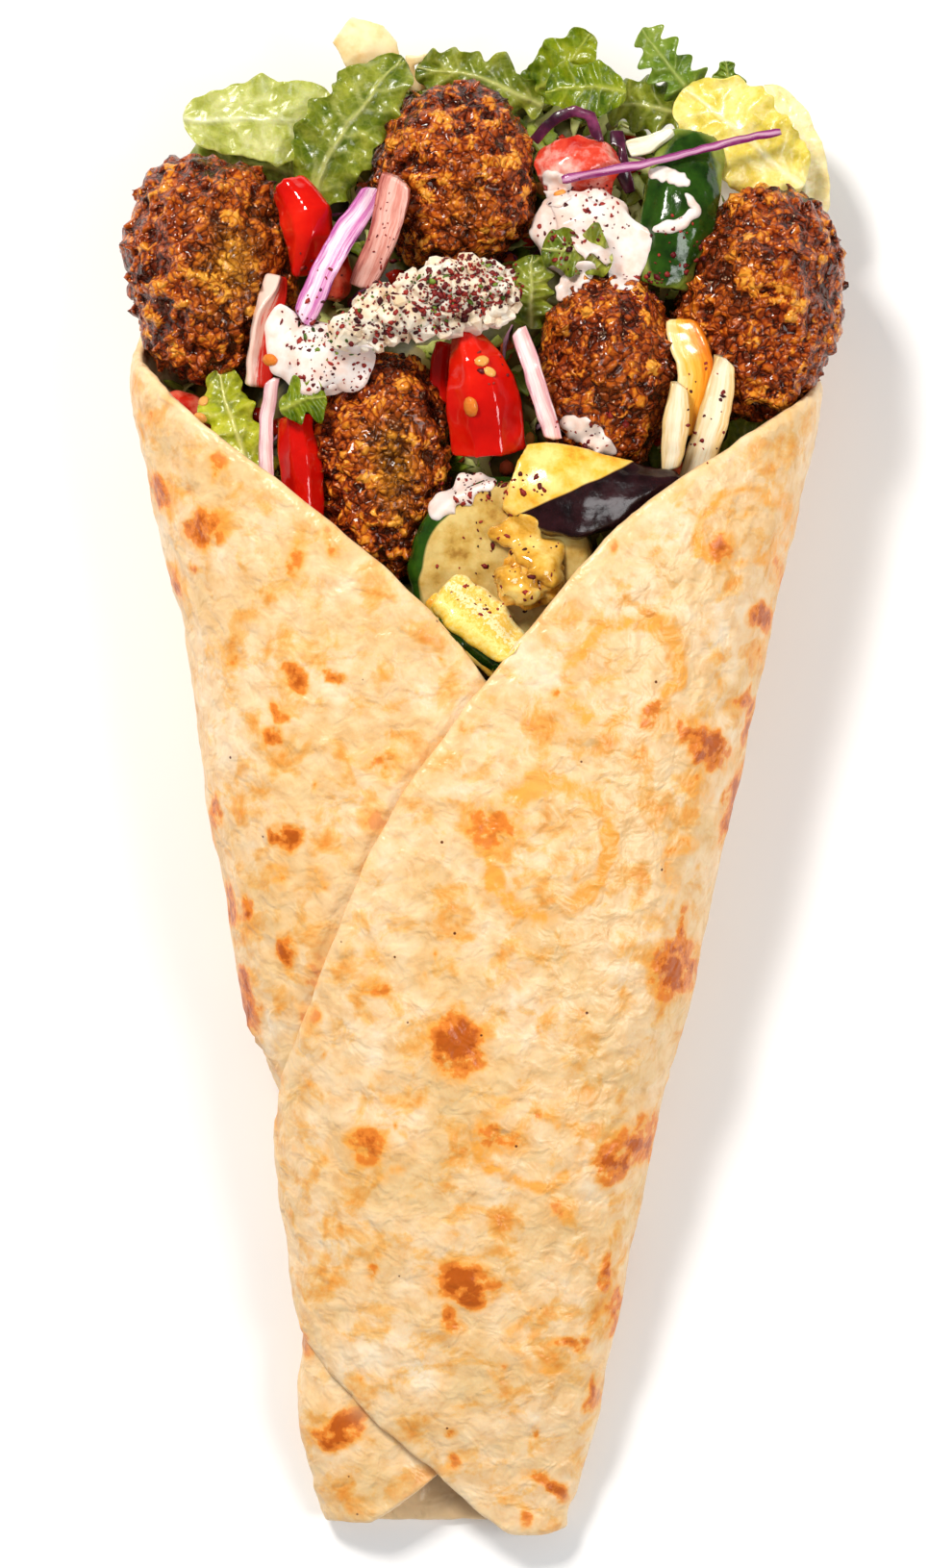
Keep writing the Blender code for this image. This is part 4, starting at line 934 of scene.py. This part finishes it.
# Where seasoning fell: the node, the middle as shares of its box, half width, half length and how many.
SUMAC = (
    ("yogurt_left", 0.65, 0.56, 9, 8, 130), ("feta", 0.38, 0.47, 12, 6, 300), ("feta", 0.7, 0.71, 8, 6, 300),
    ("yogurt_left", 0.34, 0.91, 6, 6, 40), ("feta", 0.9, 0.77, 4, 5, 80),
    ("yogurt_right", 0.52, 0.57, 9, 9, 110), ("onion_piece", 0.56, 0.48, 3, 10, 26),
    ("courgette_slice", 0.48, 0.53, 12, 10, 60), ("aubergine", 0.13, 0.54, 6, 3, 18),
    ("cucumber", 0.46, 0.26, 6, 6, 34), ("falafel_middle", 0.37, 0.19, 7, 4, 30),
    ("onion_clear", 0.47, 0.57, 4, 10, 24), ("pepper_red_tall", 0.58, 0.63, 5, 6, 10),
    ("onion_arc", 0.29, 0.42, 4, 8, 14), ("courgette_slice", 0.34, 0.93, 7, 3, 60),
    ("falafel_middle", 0.67, 0.88, 6, 4, 14), ("falafel_middle", 0.75, 0.93, 4, 3, 40),
)
HERBS = (("feta", 0.06, 0.17, 8, 5, 26), ("feta", 0.5, 0.53, 13, 5, 46), ("feta", 0.82, 0.77, 6, 4, 16))


FLAKE = 0.6  # half the length of the longer flakes, mm


def make_flakes(name, areas, finish, slot):
    """Thin flakes strewn over oval areas, each lying on whatever is beneath it."""
    met = []
    for node, *share, half, long, count in areas:
        x, y = spot_on(node, *share)
        for _ in range(count):
            turn, reach = 2 * math.pi * CHANCE.random(), math.sqrt(CHANCE.random())
            met.append(plumb(x + half * reach * math.cos(turn), y + long * reach * math.sin(turn)))
    spots, normals, kept = landed(met)
    count = len(kept)
    length = FLAKE * (0.4 + 1.1 * CHANCE.random(count) ** 3)
    width = length * (0.5 + 0.4 * CHANCE.random(count))
    sizes = np.stack([length, width, 0.12 + 0.1 * CHANCE.random(count)], 1)
    points, faces, owner = strewn(SHARD, spots + normals * 0.08, facing(normals, 0.25), sizes, 0.18)
    tone = 0.9 * CHANCE.random(count)
    piece(name, points, faces, finish, slot, tone=tone[owner])


# ---- the salad in the cone ----


SHOWS_FROM = 25  # the salad shows from this far up the wrap from its middle, mm
SHREDS_SOUGHT = 2600
SEEN_FROM_ABOVE = 0.75  # the share of the bits looked for from above, and the rest from the mouth
LETTUCE_UP_TO, CABBAGE_UP_TO, TOMATO_FROM = 0.5, 0.68, 0.8  # what a bit is, by its lot from 0 to 1


def make_salad(core_finish, shred_finish, cabbage_finish, tomato_finish):
    """The heap in the cone: a tangled core painted dark as the shade deep between the pieces, with loose
    shreds wherever it shows.
    """
    points, normals, faces = rounded("salad_bed", 1.9, 3)
    _, border, label = cells(points, 5.0)
    moved = points + normals * (0.9 * eased(0, 0.4, border) + 0.8 * label - 2.2)[:, None]
    moved[:, 2] = np.maximum(moved[:, 2], points[:, 2].min())
    piece("salad_core", moved, faces, core_finish, "mixed_salad", ["salad_bed"], tone=label)
    low, high = box_of("salad_bed")
    met = []
    for _ in range(SHREDS_SOUGHT):
        x = low[0] + (high - low)[0] * CHANCE.random()
        if CHANCE.random() < SEEN_FROM_ABOVE:
            met.append(plumb(x, SHOWS_FROM + (high[1] - SHOWS_FROM) * CHANCE.random()))
        else:
            met.append(plumb(x, high[1] + 40, 2 + 20 * CHANCE.random(), (0, -1, 0)))
    spots, normals, kept = landed(met, on="salad_core")
    lots = CHANCE.random(len(kept))
    for name, chosen, look, slot, width, length in (
        ("lettuce_shreds", lots < LETTUCE_UP_TO, shred_finish, "lettuce", 2.2, 9.0),
        ("cabbage_shreds", (lots >= LETTUCE_UP_TO) & (lots < CABBAGE_UP_TO), cabbage_finish,
         "red_cabbage", 0.8, 10.0),
    ):
        make_shreds(name, spots[chosen], normals[chosen], look, slot, width, length)
    dice = lots >= TOMATO_FROM
    sizes = 1.0 + 1.5 * CHANCE.random((dice.sum(), 3))
    cubes, cube_faces, owner = strewn(SHARD, spots[dice], facing(normals[dice], 0.8), sizes, 0.06)
    piece("tomato_dice", cubes, cube_faces, tomato_finish, "tomato", tone=CHANCE.random(dice.sum())[owner])


def make_shreds(name, spots, normals, finish, slot, width, length):
    """Thin curled ribbons cut from a leaf."""
    parts, tones = [], []
    t = np.linspace(-1, 1, 9)
    for spot, normal in zip(spots, normals):
        axes = facing(normal[None], 0.5)[0]
        long = length * (0.5 + CHANCE.random()) / 2
        bend, twist, lift = CHANCE.normal(0, 0.6), CHANCE.normal(0, 1.2), 0.8 + CHANCE.random()
        path = spot + np.outer(t * long, axes[:, 0]) + np.outer(t**2 * bend * long * 0.6, axes[:, 1])
        path += np.outer((1 - t**2) * lift, axes[:, 2])
        roll = twist * t
        side = np.outer(np.cos(roll), axes[:, 1]) + np.outer(np.sin(roll), axes[:, 2])
        half = width * (0.6 + 0.6 * CHANCE.random()) * np.clip(1 - t**6, 0.15, 1) / 2
        half = half * (1 + 0.3 * np.sin(t * 9 + CHANCE.random() * 6))
        grid = path[:, None] + side[:, None] * (half[:, None] * np.array([-1, -0.3, 0.3, 1]))[..., None]
        ups = np.repeat(np.cross(axes[:, 0], side)[:, None], 4, axis=1)
        parts.append(thick_sheet(grid, ups, 0.35))
        tones += [CHANCE.random()] * len(parts[-1][0])
    points, faces = joined(*parts)
    piece(name, points, faces, finish, slot, tone=tones)


# ---- building ----


def make_falafels():
    """The five balls, all fried in one batch."""
    crumb = fried_crumb()
    for node in FALAFELS:
        make_falafel(node, crumb)


def make_peppers_and_tomatoes():
    """Taut shiny red flesh, duller and paler where a tomato was cut, and two strips of pepper on edge."""
    red = wet_flesh("red_pepper_flesh", "#D01006", "#B80A04", "#E6240E", rough=0.1, scale=12)
    for node in ("pepper_red_tall", "pepper_red_dark", "pepper_red_left", "pepper_red_low"):
        make_chunk(node, red, "red_pepper", voxel=0.45, rounds=4, relief=0.4, size=7)
    tomato = wet_flesh("tomato_flesh", "#CC2410", "#9C1006", "#F08062", rough=0.2)
    for node in ("tomato_left", "tomato_middle"):
        make_chunk(node, tomato, "tomato", relief=0.5)
    pale_tomato = wet_flesh("pale_tomato_flesh", "#DE4A34", "#C41C0C", "#F8C4B6", rough=0.2)
    make_chunk("tomato_back", pale_tomato, "tomato", relief=1.2, size=6, voxel=0.4, rounds=2)
    pale_red = striped_finish("pepper_pale_cut", [
        (0.0, "#F4D4C4"), (0.34, "#F0B8A4"), (0.46, "#E03020"), (1.0, "#C00E06")])
    make_strip("pepper_red_pale", pale_red, "red_pepper", depth=1.6)
    yellow = striped_finish("yellow_pepper_cut", [
        (0.0, "#F8E0A4"), (0.4, "#F2B944"), (0.75, "#E88F1A"), (1.0, "#D2660A")])
    make_strip("pepper_yellow", yellow, "yellow_pepper", depth=1.5, wide=1.1)


def make_onion_and_cabbage():
    """Pickled rings of onion, purple at their rims and clear inside, and threads of red cabbage."""
    purple = striped_finish("red_onion_cut", [
        (0.0, "#B04A98"), (0.16, "#D88CC0"), (0.34, "#FAECF2"), (0.52, "#F0C4DC"), (0.68, "#C868AA"),
        (0.84, "#EAB8D4"), (1.0, "#943C84")])
    rosy = striped_finish("rosy_onion_cut", [
        (0.0, "#A04A44"), (0.2, "#D68A7C"), (0.45, "#F0BEB0"), (0.65, "#D88A7A"), (0.85, "#ECB6A8"),
        (1.0, "#A8524A")])
    pink = striped_finish("pink_onion_cut", [
        (0.0, "#C98C98"), (0.2, "#F0CACA"), (0.45, "#F9E4DF"), (0.7, "#EDBCB8"), (0.9, "#D89AA0"),
        (1.0, "#F4D8D4")])
    clear = striped_finish("clear_onion_cut", [
        (0.0, "#D9B878"), (0.3, "#F3DDB4"), (0.55, "#FAEDD0"), (0.8, "#EBCB94"), (1.0, "#D8AE66")])
    white = striped_finish("white_onion_cut", [(0.0, "#E9E0B4"), (0.4, "#FAF6E6"), (1.0, "#F0EBCB")])
    make_strip("onion_arc", purple, "onion", depth=1.1, slant=1, wide=1.15)
    make_strip("onion_piece", rosy, "onion", depth=1.2, slant=-1, wide=1.15)
    for node in ("onion_white", "onion_thin"):
        make_strip(node, pink, "onion", slant=1)
    for node in ("onion_clear", "onion_clear_inner"):
        make_strip(node, clear, "onion", depth=1.2, wide=1.1, slant=-1)
    make_strip("cabbage_white", white, "onion", depth=1.2)
    cabbage = striped_finish("red_cabbage_cut", [
        (0.0, "#6E1450"), (0.3, "#A03A80"), (0.6, "#D8A8C4"), (1.0, "#8A2468")], clear=0.1)
    make_strip("cabbage_thread", cabbage, "red_cabbage", depth=0.6, wide=0.75)
    dark_cabbage = wet_flesh("dark_cabbage", "#4A1430", "#2A0A1C", "#8A3A62", rough=0.3)
    for node in ("cabbage_loop", "cabbage_dark"):
        make_chunk(node, dark_cabbage, "red_cabbage", voxel=0.3, rounds=3, relief=0.15, size=3)


def make_cucumber_courgette_and_aubergine():
    """Dark waxy peel with raw green or roast golden flesh."""
    cucumber = split_finish("cucumber_peel", "#16300A", "#2E5210", "#8E9A44", "#74842C", "#4C6018",
                            "upward", -0.6, 0.1, rough=0.16)
    make_chunk("cucumber", cucumber, "cucumber", voxel=0.4, rounds=2)
    slice_look = split_finish("courgette_round", "#16300A", "#30560E", "#E2C67C", "#CCA450", "#A87A32",
                              "across", 0.94, 0.97)
    make_courgette_slice(slice_look)
    wedge = split_finish("courgette_wedge_cut", "#1C3206", "#34520E", "#FFE694", "#FCC94E", "#E0982A",
                         "across", 0.55, 0.66)
    make_chunk("courgette_wedge", wedge, "grilled_courgette")
    fold = wet_flesh("courgette_fold_flesh", "#E4A030", "#A45C10", "#FAD47A", rough=0.2,
                     glow=(1.0, 0.7, 0.2), scale=3.0)
    make_chunk("courgette_fold", fold, "grilled_courgette", relief=1.1, size=2.6, voxel=0.4)
    aubergine = split_finish("aubergine_roast", "#140608", "#34161A", "#FFDC84", "#FCBC3E", "#DC9220",
                             "beyond", -0.1, 0.25, rough=0.26, stray=0.3, coat=0.25)
    make_chunk("aubergine", aubergine, "roast_aubergine", relief=0.5, size=6, rounds=8, cut=(0.44, 0.56, 24))


# Soft flesh and peel on the courgettes: name, node, then shares of its box and half width along it, its
# look, how high it stands, how rough it is and how blunt its ends are.
COURGETTE_FILMS = (
    ("courgette_pulp_upper", "courgette_slice",
     ((0.42, 0.69, 1.8), (0.59, 0.69, 3.4), (0.73, 0.55, 3.8), (0.77, 0.4, 2.0)), "pulp", 2.2, 0.5, 5),
    ("courgette_pulp_lower", "courgette_slice",
     ((0.46, 0.5, 1.6), (0.56, 0.43, 3.0), (0.67, 0.32, 2.4)), "pulp", 1.8, 0.5, 5),
    ("courgette_peel", "courgette_wedge",
     ((0.16, 0.72, 1.0), (0.39, 0.54, 1.9), (0.61, 0.32, 1.9), (0.73, 0.19, 1.2)), "peel", 0.4, 0.1, 24),
    ("courgette_cut_face", "courgette_wedge",
     ((0.18, 1.03, 4.0), (0.37, 0.86, 4.9), (0.62, 0.62, 4.9), (0.88, 0.35, 3.4)), "fibres", 1.5, 0.12, 24),
)
# Yogurt that has run over its neighbours: name, node, then shares of its box and half width along it.
RUNS = (
    ("yogurt_smear", "yogurt_left",
     ((-0.01, 1.19, 2.0), (0.02, 0.77, 4.4), (0.34, 0.42, 6.0), (0.81, 0.35, 4.2), (1.09, 0.6, 2.2))),
    ("yogurt_spread", "yogurt_right",
     ((0.21, 0.82, 2.0), (0.47, 0.67, 5.0), (0.77, 0.49, 6.0), (0.92, 0.18, 4.6), (0.8, -0.09, 2.6))),
    ("yogurt_on_slice", "courgette_slice",
     ((0.13, 0.77, 1.6), (0.2, 0.86, 2.4), (0.33, 0.94, 2.7), (0.47, 0.97, 1.6))),
    ("yogurt_on_cucumber", "cucumber", ((0.17, 0.72, 1.2), (0.38, 0.71, 1.5), (0.6, 0.64, 1.2))),
    ("yogurt_squiggle", "cucumber",
     ((0.21, 0.37, 1.2), (0.48, 0.39, 1.2), (0.69, 0.49, 1.0), (0.55, 0.59, 0.8))),
    ("yogurt_on_tomato", "tomato_back", ((0.15, 0.42, 1.2), (0.32, 0.17, 2.2), (0.29, -0.16, 2.4))),
    ("yogurt_low", "falafel_middle", ((0.15, 0.23, 1.6), (0.34, 0.16, 2.6), (0.55, 0.06, 1.0))),
    ("yogurt_drop", "falafel_middle", ((0.4, 1.03, 1.6), (0.23, 0.95, 2.2), (0.14, 0.85, 1.0))),
)


def make_sauces_and_soft_bits():
    """Dollops of thick yogurt, then what clings to the pieces made so far, and the feta on top."""
    yogurt = cream("strained_yogurt", "#FEEDE4", "#F6D2C2", 0.22)
    for node in ("yogurt_left", "yogurt_right"):
        make_chunk(node, yogurt, "yogurt_sauce", relief=0.8, size=5, voxel=0.5)
    looks = {
        "pulp": wet_flesh("courgette_pulp", "#E6AC3E", "#A86C1A", "#FADC84", rough=0.1,
                          glow=(1.0, 0.7, 0.2), scale=4.5),
        "peel": wet_flesh("courgette_peel", "#1E3C08", "#0E2404", "#34600E", rough=0.12,
                          glow=(0.3, 1.0, 0.2)),
        "fibres": striped_finish("courgette_fibres", [
            (0.0, "#F2C440"), (0.3, "#FBE48C"), (0.5, "#F0C038"), (0.62, "#FFF4C4"), (0.8, "#EEBE3C"),
            (1.0, "#FBE9A4")], rough=0.15, length=9),
    }
    bpy.context.view_layer.update()
    for name, node, path, look, height, rough, blunt in COURGETTE_FILMS:
        make_film(name, node, path, looks[look], "grilled_courgette", height=height, phase=height,
                  rough=rough, bay=rough, blunt=blunt)
    make_feta(cream("crumbly_feta", "#FCEBD4", "#ECC9A2", 0.45))
    bpy.context.view_layer.update()
    for i, (name, node, path) in enumerate(RUNS):
        make_film(name, node, path, yogurt, "yogurt_sauce", phase=i * 1.7)


# Loose seeds that stuck to wet cut faces: the node, shares of its box and how big the seed is.
SEEDS = (
    ("pepper_red_tall", 0.3, 0.38, 2.8), ("pepper_red_tall", 0.44, 0.72, 1.9),
    ("pepper_red_tall", 0.54, 0.64, 1.7), ("pepper_red_tall", 1.05, 0.18, 1.8),
    ("yogurt_left", -0.13, 0.47, 2.2), ("tomato_back", 0.12, 0.22, 2.0), ("tomato_back", 0.32, 0.08, 1.7),
    ("tomato_left", 0.55, 0.45, 2.2), ("tomato_left", 0.75, 0.3, 1.9), ("tomato_left", 0.8, 0.7, 2.0),
)


def make_seeds(finish):
    """Pepper and tomato seeds, flat drops of pale amber, none of them on the bread."""
    bpy.context.view_layer.update()
    met = [plumb(*spot_on(node, across, up)) for node, across, up, _ in SEEDS]
    spots, normals, kept = landed(met, off=("floor", "flatbread_skin"))
    long = np.array([SEEDS[i][3] for i in kept])
    sizes = 0.75 * np.stack([long, long * 0.75, long * 0.45], 1)
    points, faces, owner = strewn(PEBBLE, spots, facing(normals, 0.15), sizes, 0.04)
    tone = 0.2 + 0.6 * CHANCE.random(len(long))
    piece("loose_seeds", points, faces, finish, "tomato", tone=tone[owner])


def make_courgette_slice(finish):
    """A round slice, with its distance from the middle kept as the mark that tells peel from flesh. The
    peel shows widest at its upper left."""
    points, normals, faces = rounded("courgette_slice", 0.5, 4)
    low, high = points.min(0), points.max(0)
    middle, half = (low + high) / 2, (high - low)[:2] / 2
    off = (points - middle)[:, :2]
    away = np.hypot(*(off / half).T)
    upper_left = off @ (-0.7, 0.7) / np.linalg.norm(half)
    seeds = cells(points, 3.2)[0]
    inner = eased(0.3, 0.0, abs(away - 0.4)) * (0.6 - seeds)
    moved = points + normals * (0.35 * inner + 0.3 * lumpy(points, 4, 2))[:, None]
    piece("courgette_slice_piece", moved, faces, finish, "grilled_courgette", ["courgette_slice"],
          across=away + 0.16 * upper_left)


# What each leaf is, with its colours: dark, blade, light, veins and how rough it is.
LEAF_LOOKS = {
    "pale_romaine": ("#929A2C", "#B6BA58", "#D0D088", "#E2E2B4", 0.3),
    "green_lettuce": ("#465C06", "#727E18", "#A0A438", "#C8C878", 0.3),
    "young_spinach": ("#3E5A04", "#6E8204", "#98A014", "#B0B44A", 0.3),
    "frilly_lettuce": ("#76800E", "#AEB41E", "#D6D44C", "#E4E08C", 0.3),
    "rocket": ("#42600A", "#66821C", "#869836", "#A4B05C", 0.3),
    "butter_lettuce": ("#C6B02C", "#E8D258", "#F8E898", "#FCF2C4", 0.3),
    "lettuce_heart": ("#E6CE84", "#F2E2AA", "#FAF0CE", "#FAF2D4", 0.4),
}
# Each leaf: its node, its look and its slot, then its lobes, how deep they are, how ruffled its rim is,
# the waves along it, the side veins, a phase, how torn its rim is and whether its tip points down.
LEAVES = (
    ("lettuce_left", "pale_romaine", "lettuce", 2, 0.06, 0.7, 4, 4, 0.0, 0.1, True),
    ("lettuce_left_inner", "green_lettuce", "lettuce", 4, 0.1, 1.4, 5, 6, 0.3, 0.2, False),
    ("lettuce_behind_left", "green_lettuce", "lettuce", 6, 0.14, 1.0, 4, 7, 0.7, 0.2, False),
    ("lettuce_top", "green_lettuce", "lettuce", 5, 0.16, 1.3, 4, 7, 1.1, 0.5, False),
    ("spinach_back", "young_spinach", "dark_green_leaf", 2, 0.12, 0.6, 4, 7, 0.2, 0.2, False),
    ("spinach_front", "young_spinach", "dark_green_leaf", 1, 0.1, 0.6, 4, 7, 0.9, 0.2, False),
    ("rocket_leaf", "rocket", "dark_green_leaf", 5, 0.34, 0.5, 4, 7, 0.5, 0.2, False),
    ("rocket_tip", "rocket", "dark_green_leaf", 2, 0.25, 0.4, 4, 7, 0.1, 0.2, False),
    ("lettuce_middle", "green_lettuce", "lettuce", 4, 0.18, 1.3, 4, 7, 1.7, 0.4, False),
    ("lettuce_yellow", "butter_lettuce", "lettuce", 2, 0.08, 1.1, 4, 4, 0.6, 0.2, False),
    ("lettuce_cream", "lettuce_heart", "pale_lettuce_rib", 1, 0.04, 0.6, 4, 3, 0.0, 0.08, False),
    ("lettuce_on_yogurt", "green_lettuce", "lettuce", 2, 0.14, 1.3, 4, 7, 2.3, 0.3, False),
    ("lettuce_frill", "green_lettuce", "lettuce", 4, 0.16, 1.6, 4, 7, 2.9, 0.35, False),
    ("lettuce_low_left", "frilly_lettuce", "lettuce", 4, 0.16, 1.6, 4, 7, 3.3, 0.35, False),
    ("basil_bit", "young_spinach", "dark_green_leaf", 2, 0.3, 0.5, 4, 7, 1.4, 0.2, False),
    ("lettuce_low_right", "green_lettuce", "lettuce", 3, 0.2, 1.0, 4, 7, 3.9, 0.2, False),
)


def make_all_leaves():
    """The leaves that stand out of the heap, and two pale chips of leaf base behind them."""
    looks = {name: leaf_finish(name, *codes) for name, codes in LEAF_LOOKS.items()}
    for node, look, slot, *shape in LEAVES:
        make_leaf(node, looks[look], slot, *shape)
    chip = cream("pale_leaf_base", "#F7DFB2", "#EBC88C", 0.4)
    for node in ("pale_leaf_top", "pale_leaf_small"):
        make_chunk(node, chip, "pale_lettuce_rib", relief=0.3, size=5, voxel=0.4, rounds=1)


def make_floor():
    """A plain white matt sweep."""
    material, tree, where = blank("studio_floor")
    shade = add(tree, "TexNoise", {"Vector": where, "Scale": every(300)})
    colour = add(tree, "ValToRGB", {"Fac": shade}, [(0.3, "#FAFAFA"), (0.7, "#FBFBFB")])
    surface(tree, {"Base Color": colour, "Roughness": 0.9, "Specular IOR Level": 0.1})
    mesh = bpy.data.meshes.new("floor")
    reach = 3.0
    corners = [(reach * x, reach * y, 0) for x, y in ((-1, -1), (1, -1), (1, 1), (-1, 1))]
    mesh.from_pydata(corners, [], [(0, 1, 2, 3)])
    mesh.materials.append(material)
    floor = bpy.data.objects.new("floor", mesh)
    bpy.context.scene.collection.objects.link(floor)


def area_light(name, place, size, power, colour="#FFFFFF"):
    """A square soft lamp that points at the origin."""
    lamp = bpy.data.lights.new(name, "AREA")
    lamp.size, lamp.energy, lamp.color = size, power, linear(colour)[:3]
    made = bpy.data.objects.new(name, lamp)
    made.location = place
    made.rotation_euler = (-Vector(place)).to_track_quat("-Z", "Y").to_euler()
    bpy.context.scene.collection.objects.link(made)


def make_studio():
    """Soft key from the upper left, weaker fill from the right, and a camera straight above."""
    area_light("key", (-0.4, 0.66, 0.9), 0.24, 11.5, "#FFFAF4")
    area_light("fill", (0.75, -0.2, 0.95), 0.5, 5.7)
    world = bpy.data.worlds.new("studio")
    world.use_nodes = True
    tree = world.node_tree
    sky = tree.nodes["Background"]
    # The room round the white sweep is dim, so wet skins mirror the lamps and not a white haze.
    mirrored = add(tree, "LightPath").outputs["Is Glossy Ray"]
    dimmed = add(tree, "MapRange", {"Value": mirrored, "To Min": 0.42, "To Max": 0.06})
    tree.links.new(dimmed.outputs[0], sky.inputs["Strength"])
    sky.inputs["Color"].default_value = linear("#FFFFFF")
    bpy.context.scene.world = world
    bpy.context.scene.view_settings.view_transform = "Standard"
    view = bpy.data.cameras.new("camera")
    view.sensor_width = 36.0
    mid_height = 0.025  # of the wrap
    away, view_height = 1.475, 0.2934  # from the wrap's mid height, and what the picture spans there
    view.lens = view.sensor_width * away / view_height
    view.clip_end = 10
    camera = bpy.data.objects.new("camera", view)
    camera.location = (-0.0034, -0.0007, mid_height + away)
    bpy.context.scene.collection.objects.link(camera)
    bpy.context.scene.camera = camera


def main():
    """Everything from the table up: what clings or falls comes after the pieces that it lands on."""
    make_floor()
    make_flatbread(baked_flatbread())
    make_falafels()
    make_peppers_and_tomatoes()
    make_onion_and_cabbage()
    make_cucumber_courgette_and_aubergine()
    make_sauces_and_soft_bits()
    make_all_leaves()
    make_salad(
        # Painted shade: the core's dark tones stand for the shade deep in the cone between the pieces.
        tinted("salad_tangle", "#2A2408", "#4E4A12", "#7A6A22"),
        tinted("lettuce_shred", "#5E7212", "#98A436", "#D2D488", 0.35),
        tinted("cabbage_shred", "#3A1028", "#7A2E5A", "#C890A8", 0.35),
        tinted("tomato_diced", "#8E1206", "#C62A12", "#E86A40", 0.18),
    )
    make_flakes("sumac_flakes", SUMAC, tinted("sumac", "#34040A", "#6A1014", "#A02A1E"), "tomato")
    make_flakes("herb_flakes", HERBS, tinted("chopped_herb", "#263E06", "#4A6A12", "#7A9030"), "lettuce")
    make_seeds(tinted("seed_skin", "#C8501A", "#E88A34", "#F4B060", 0.1))
    make_studio()


main()
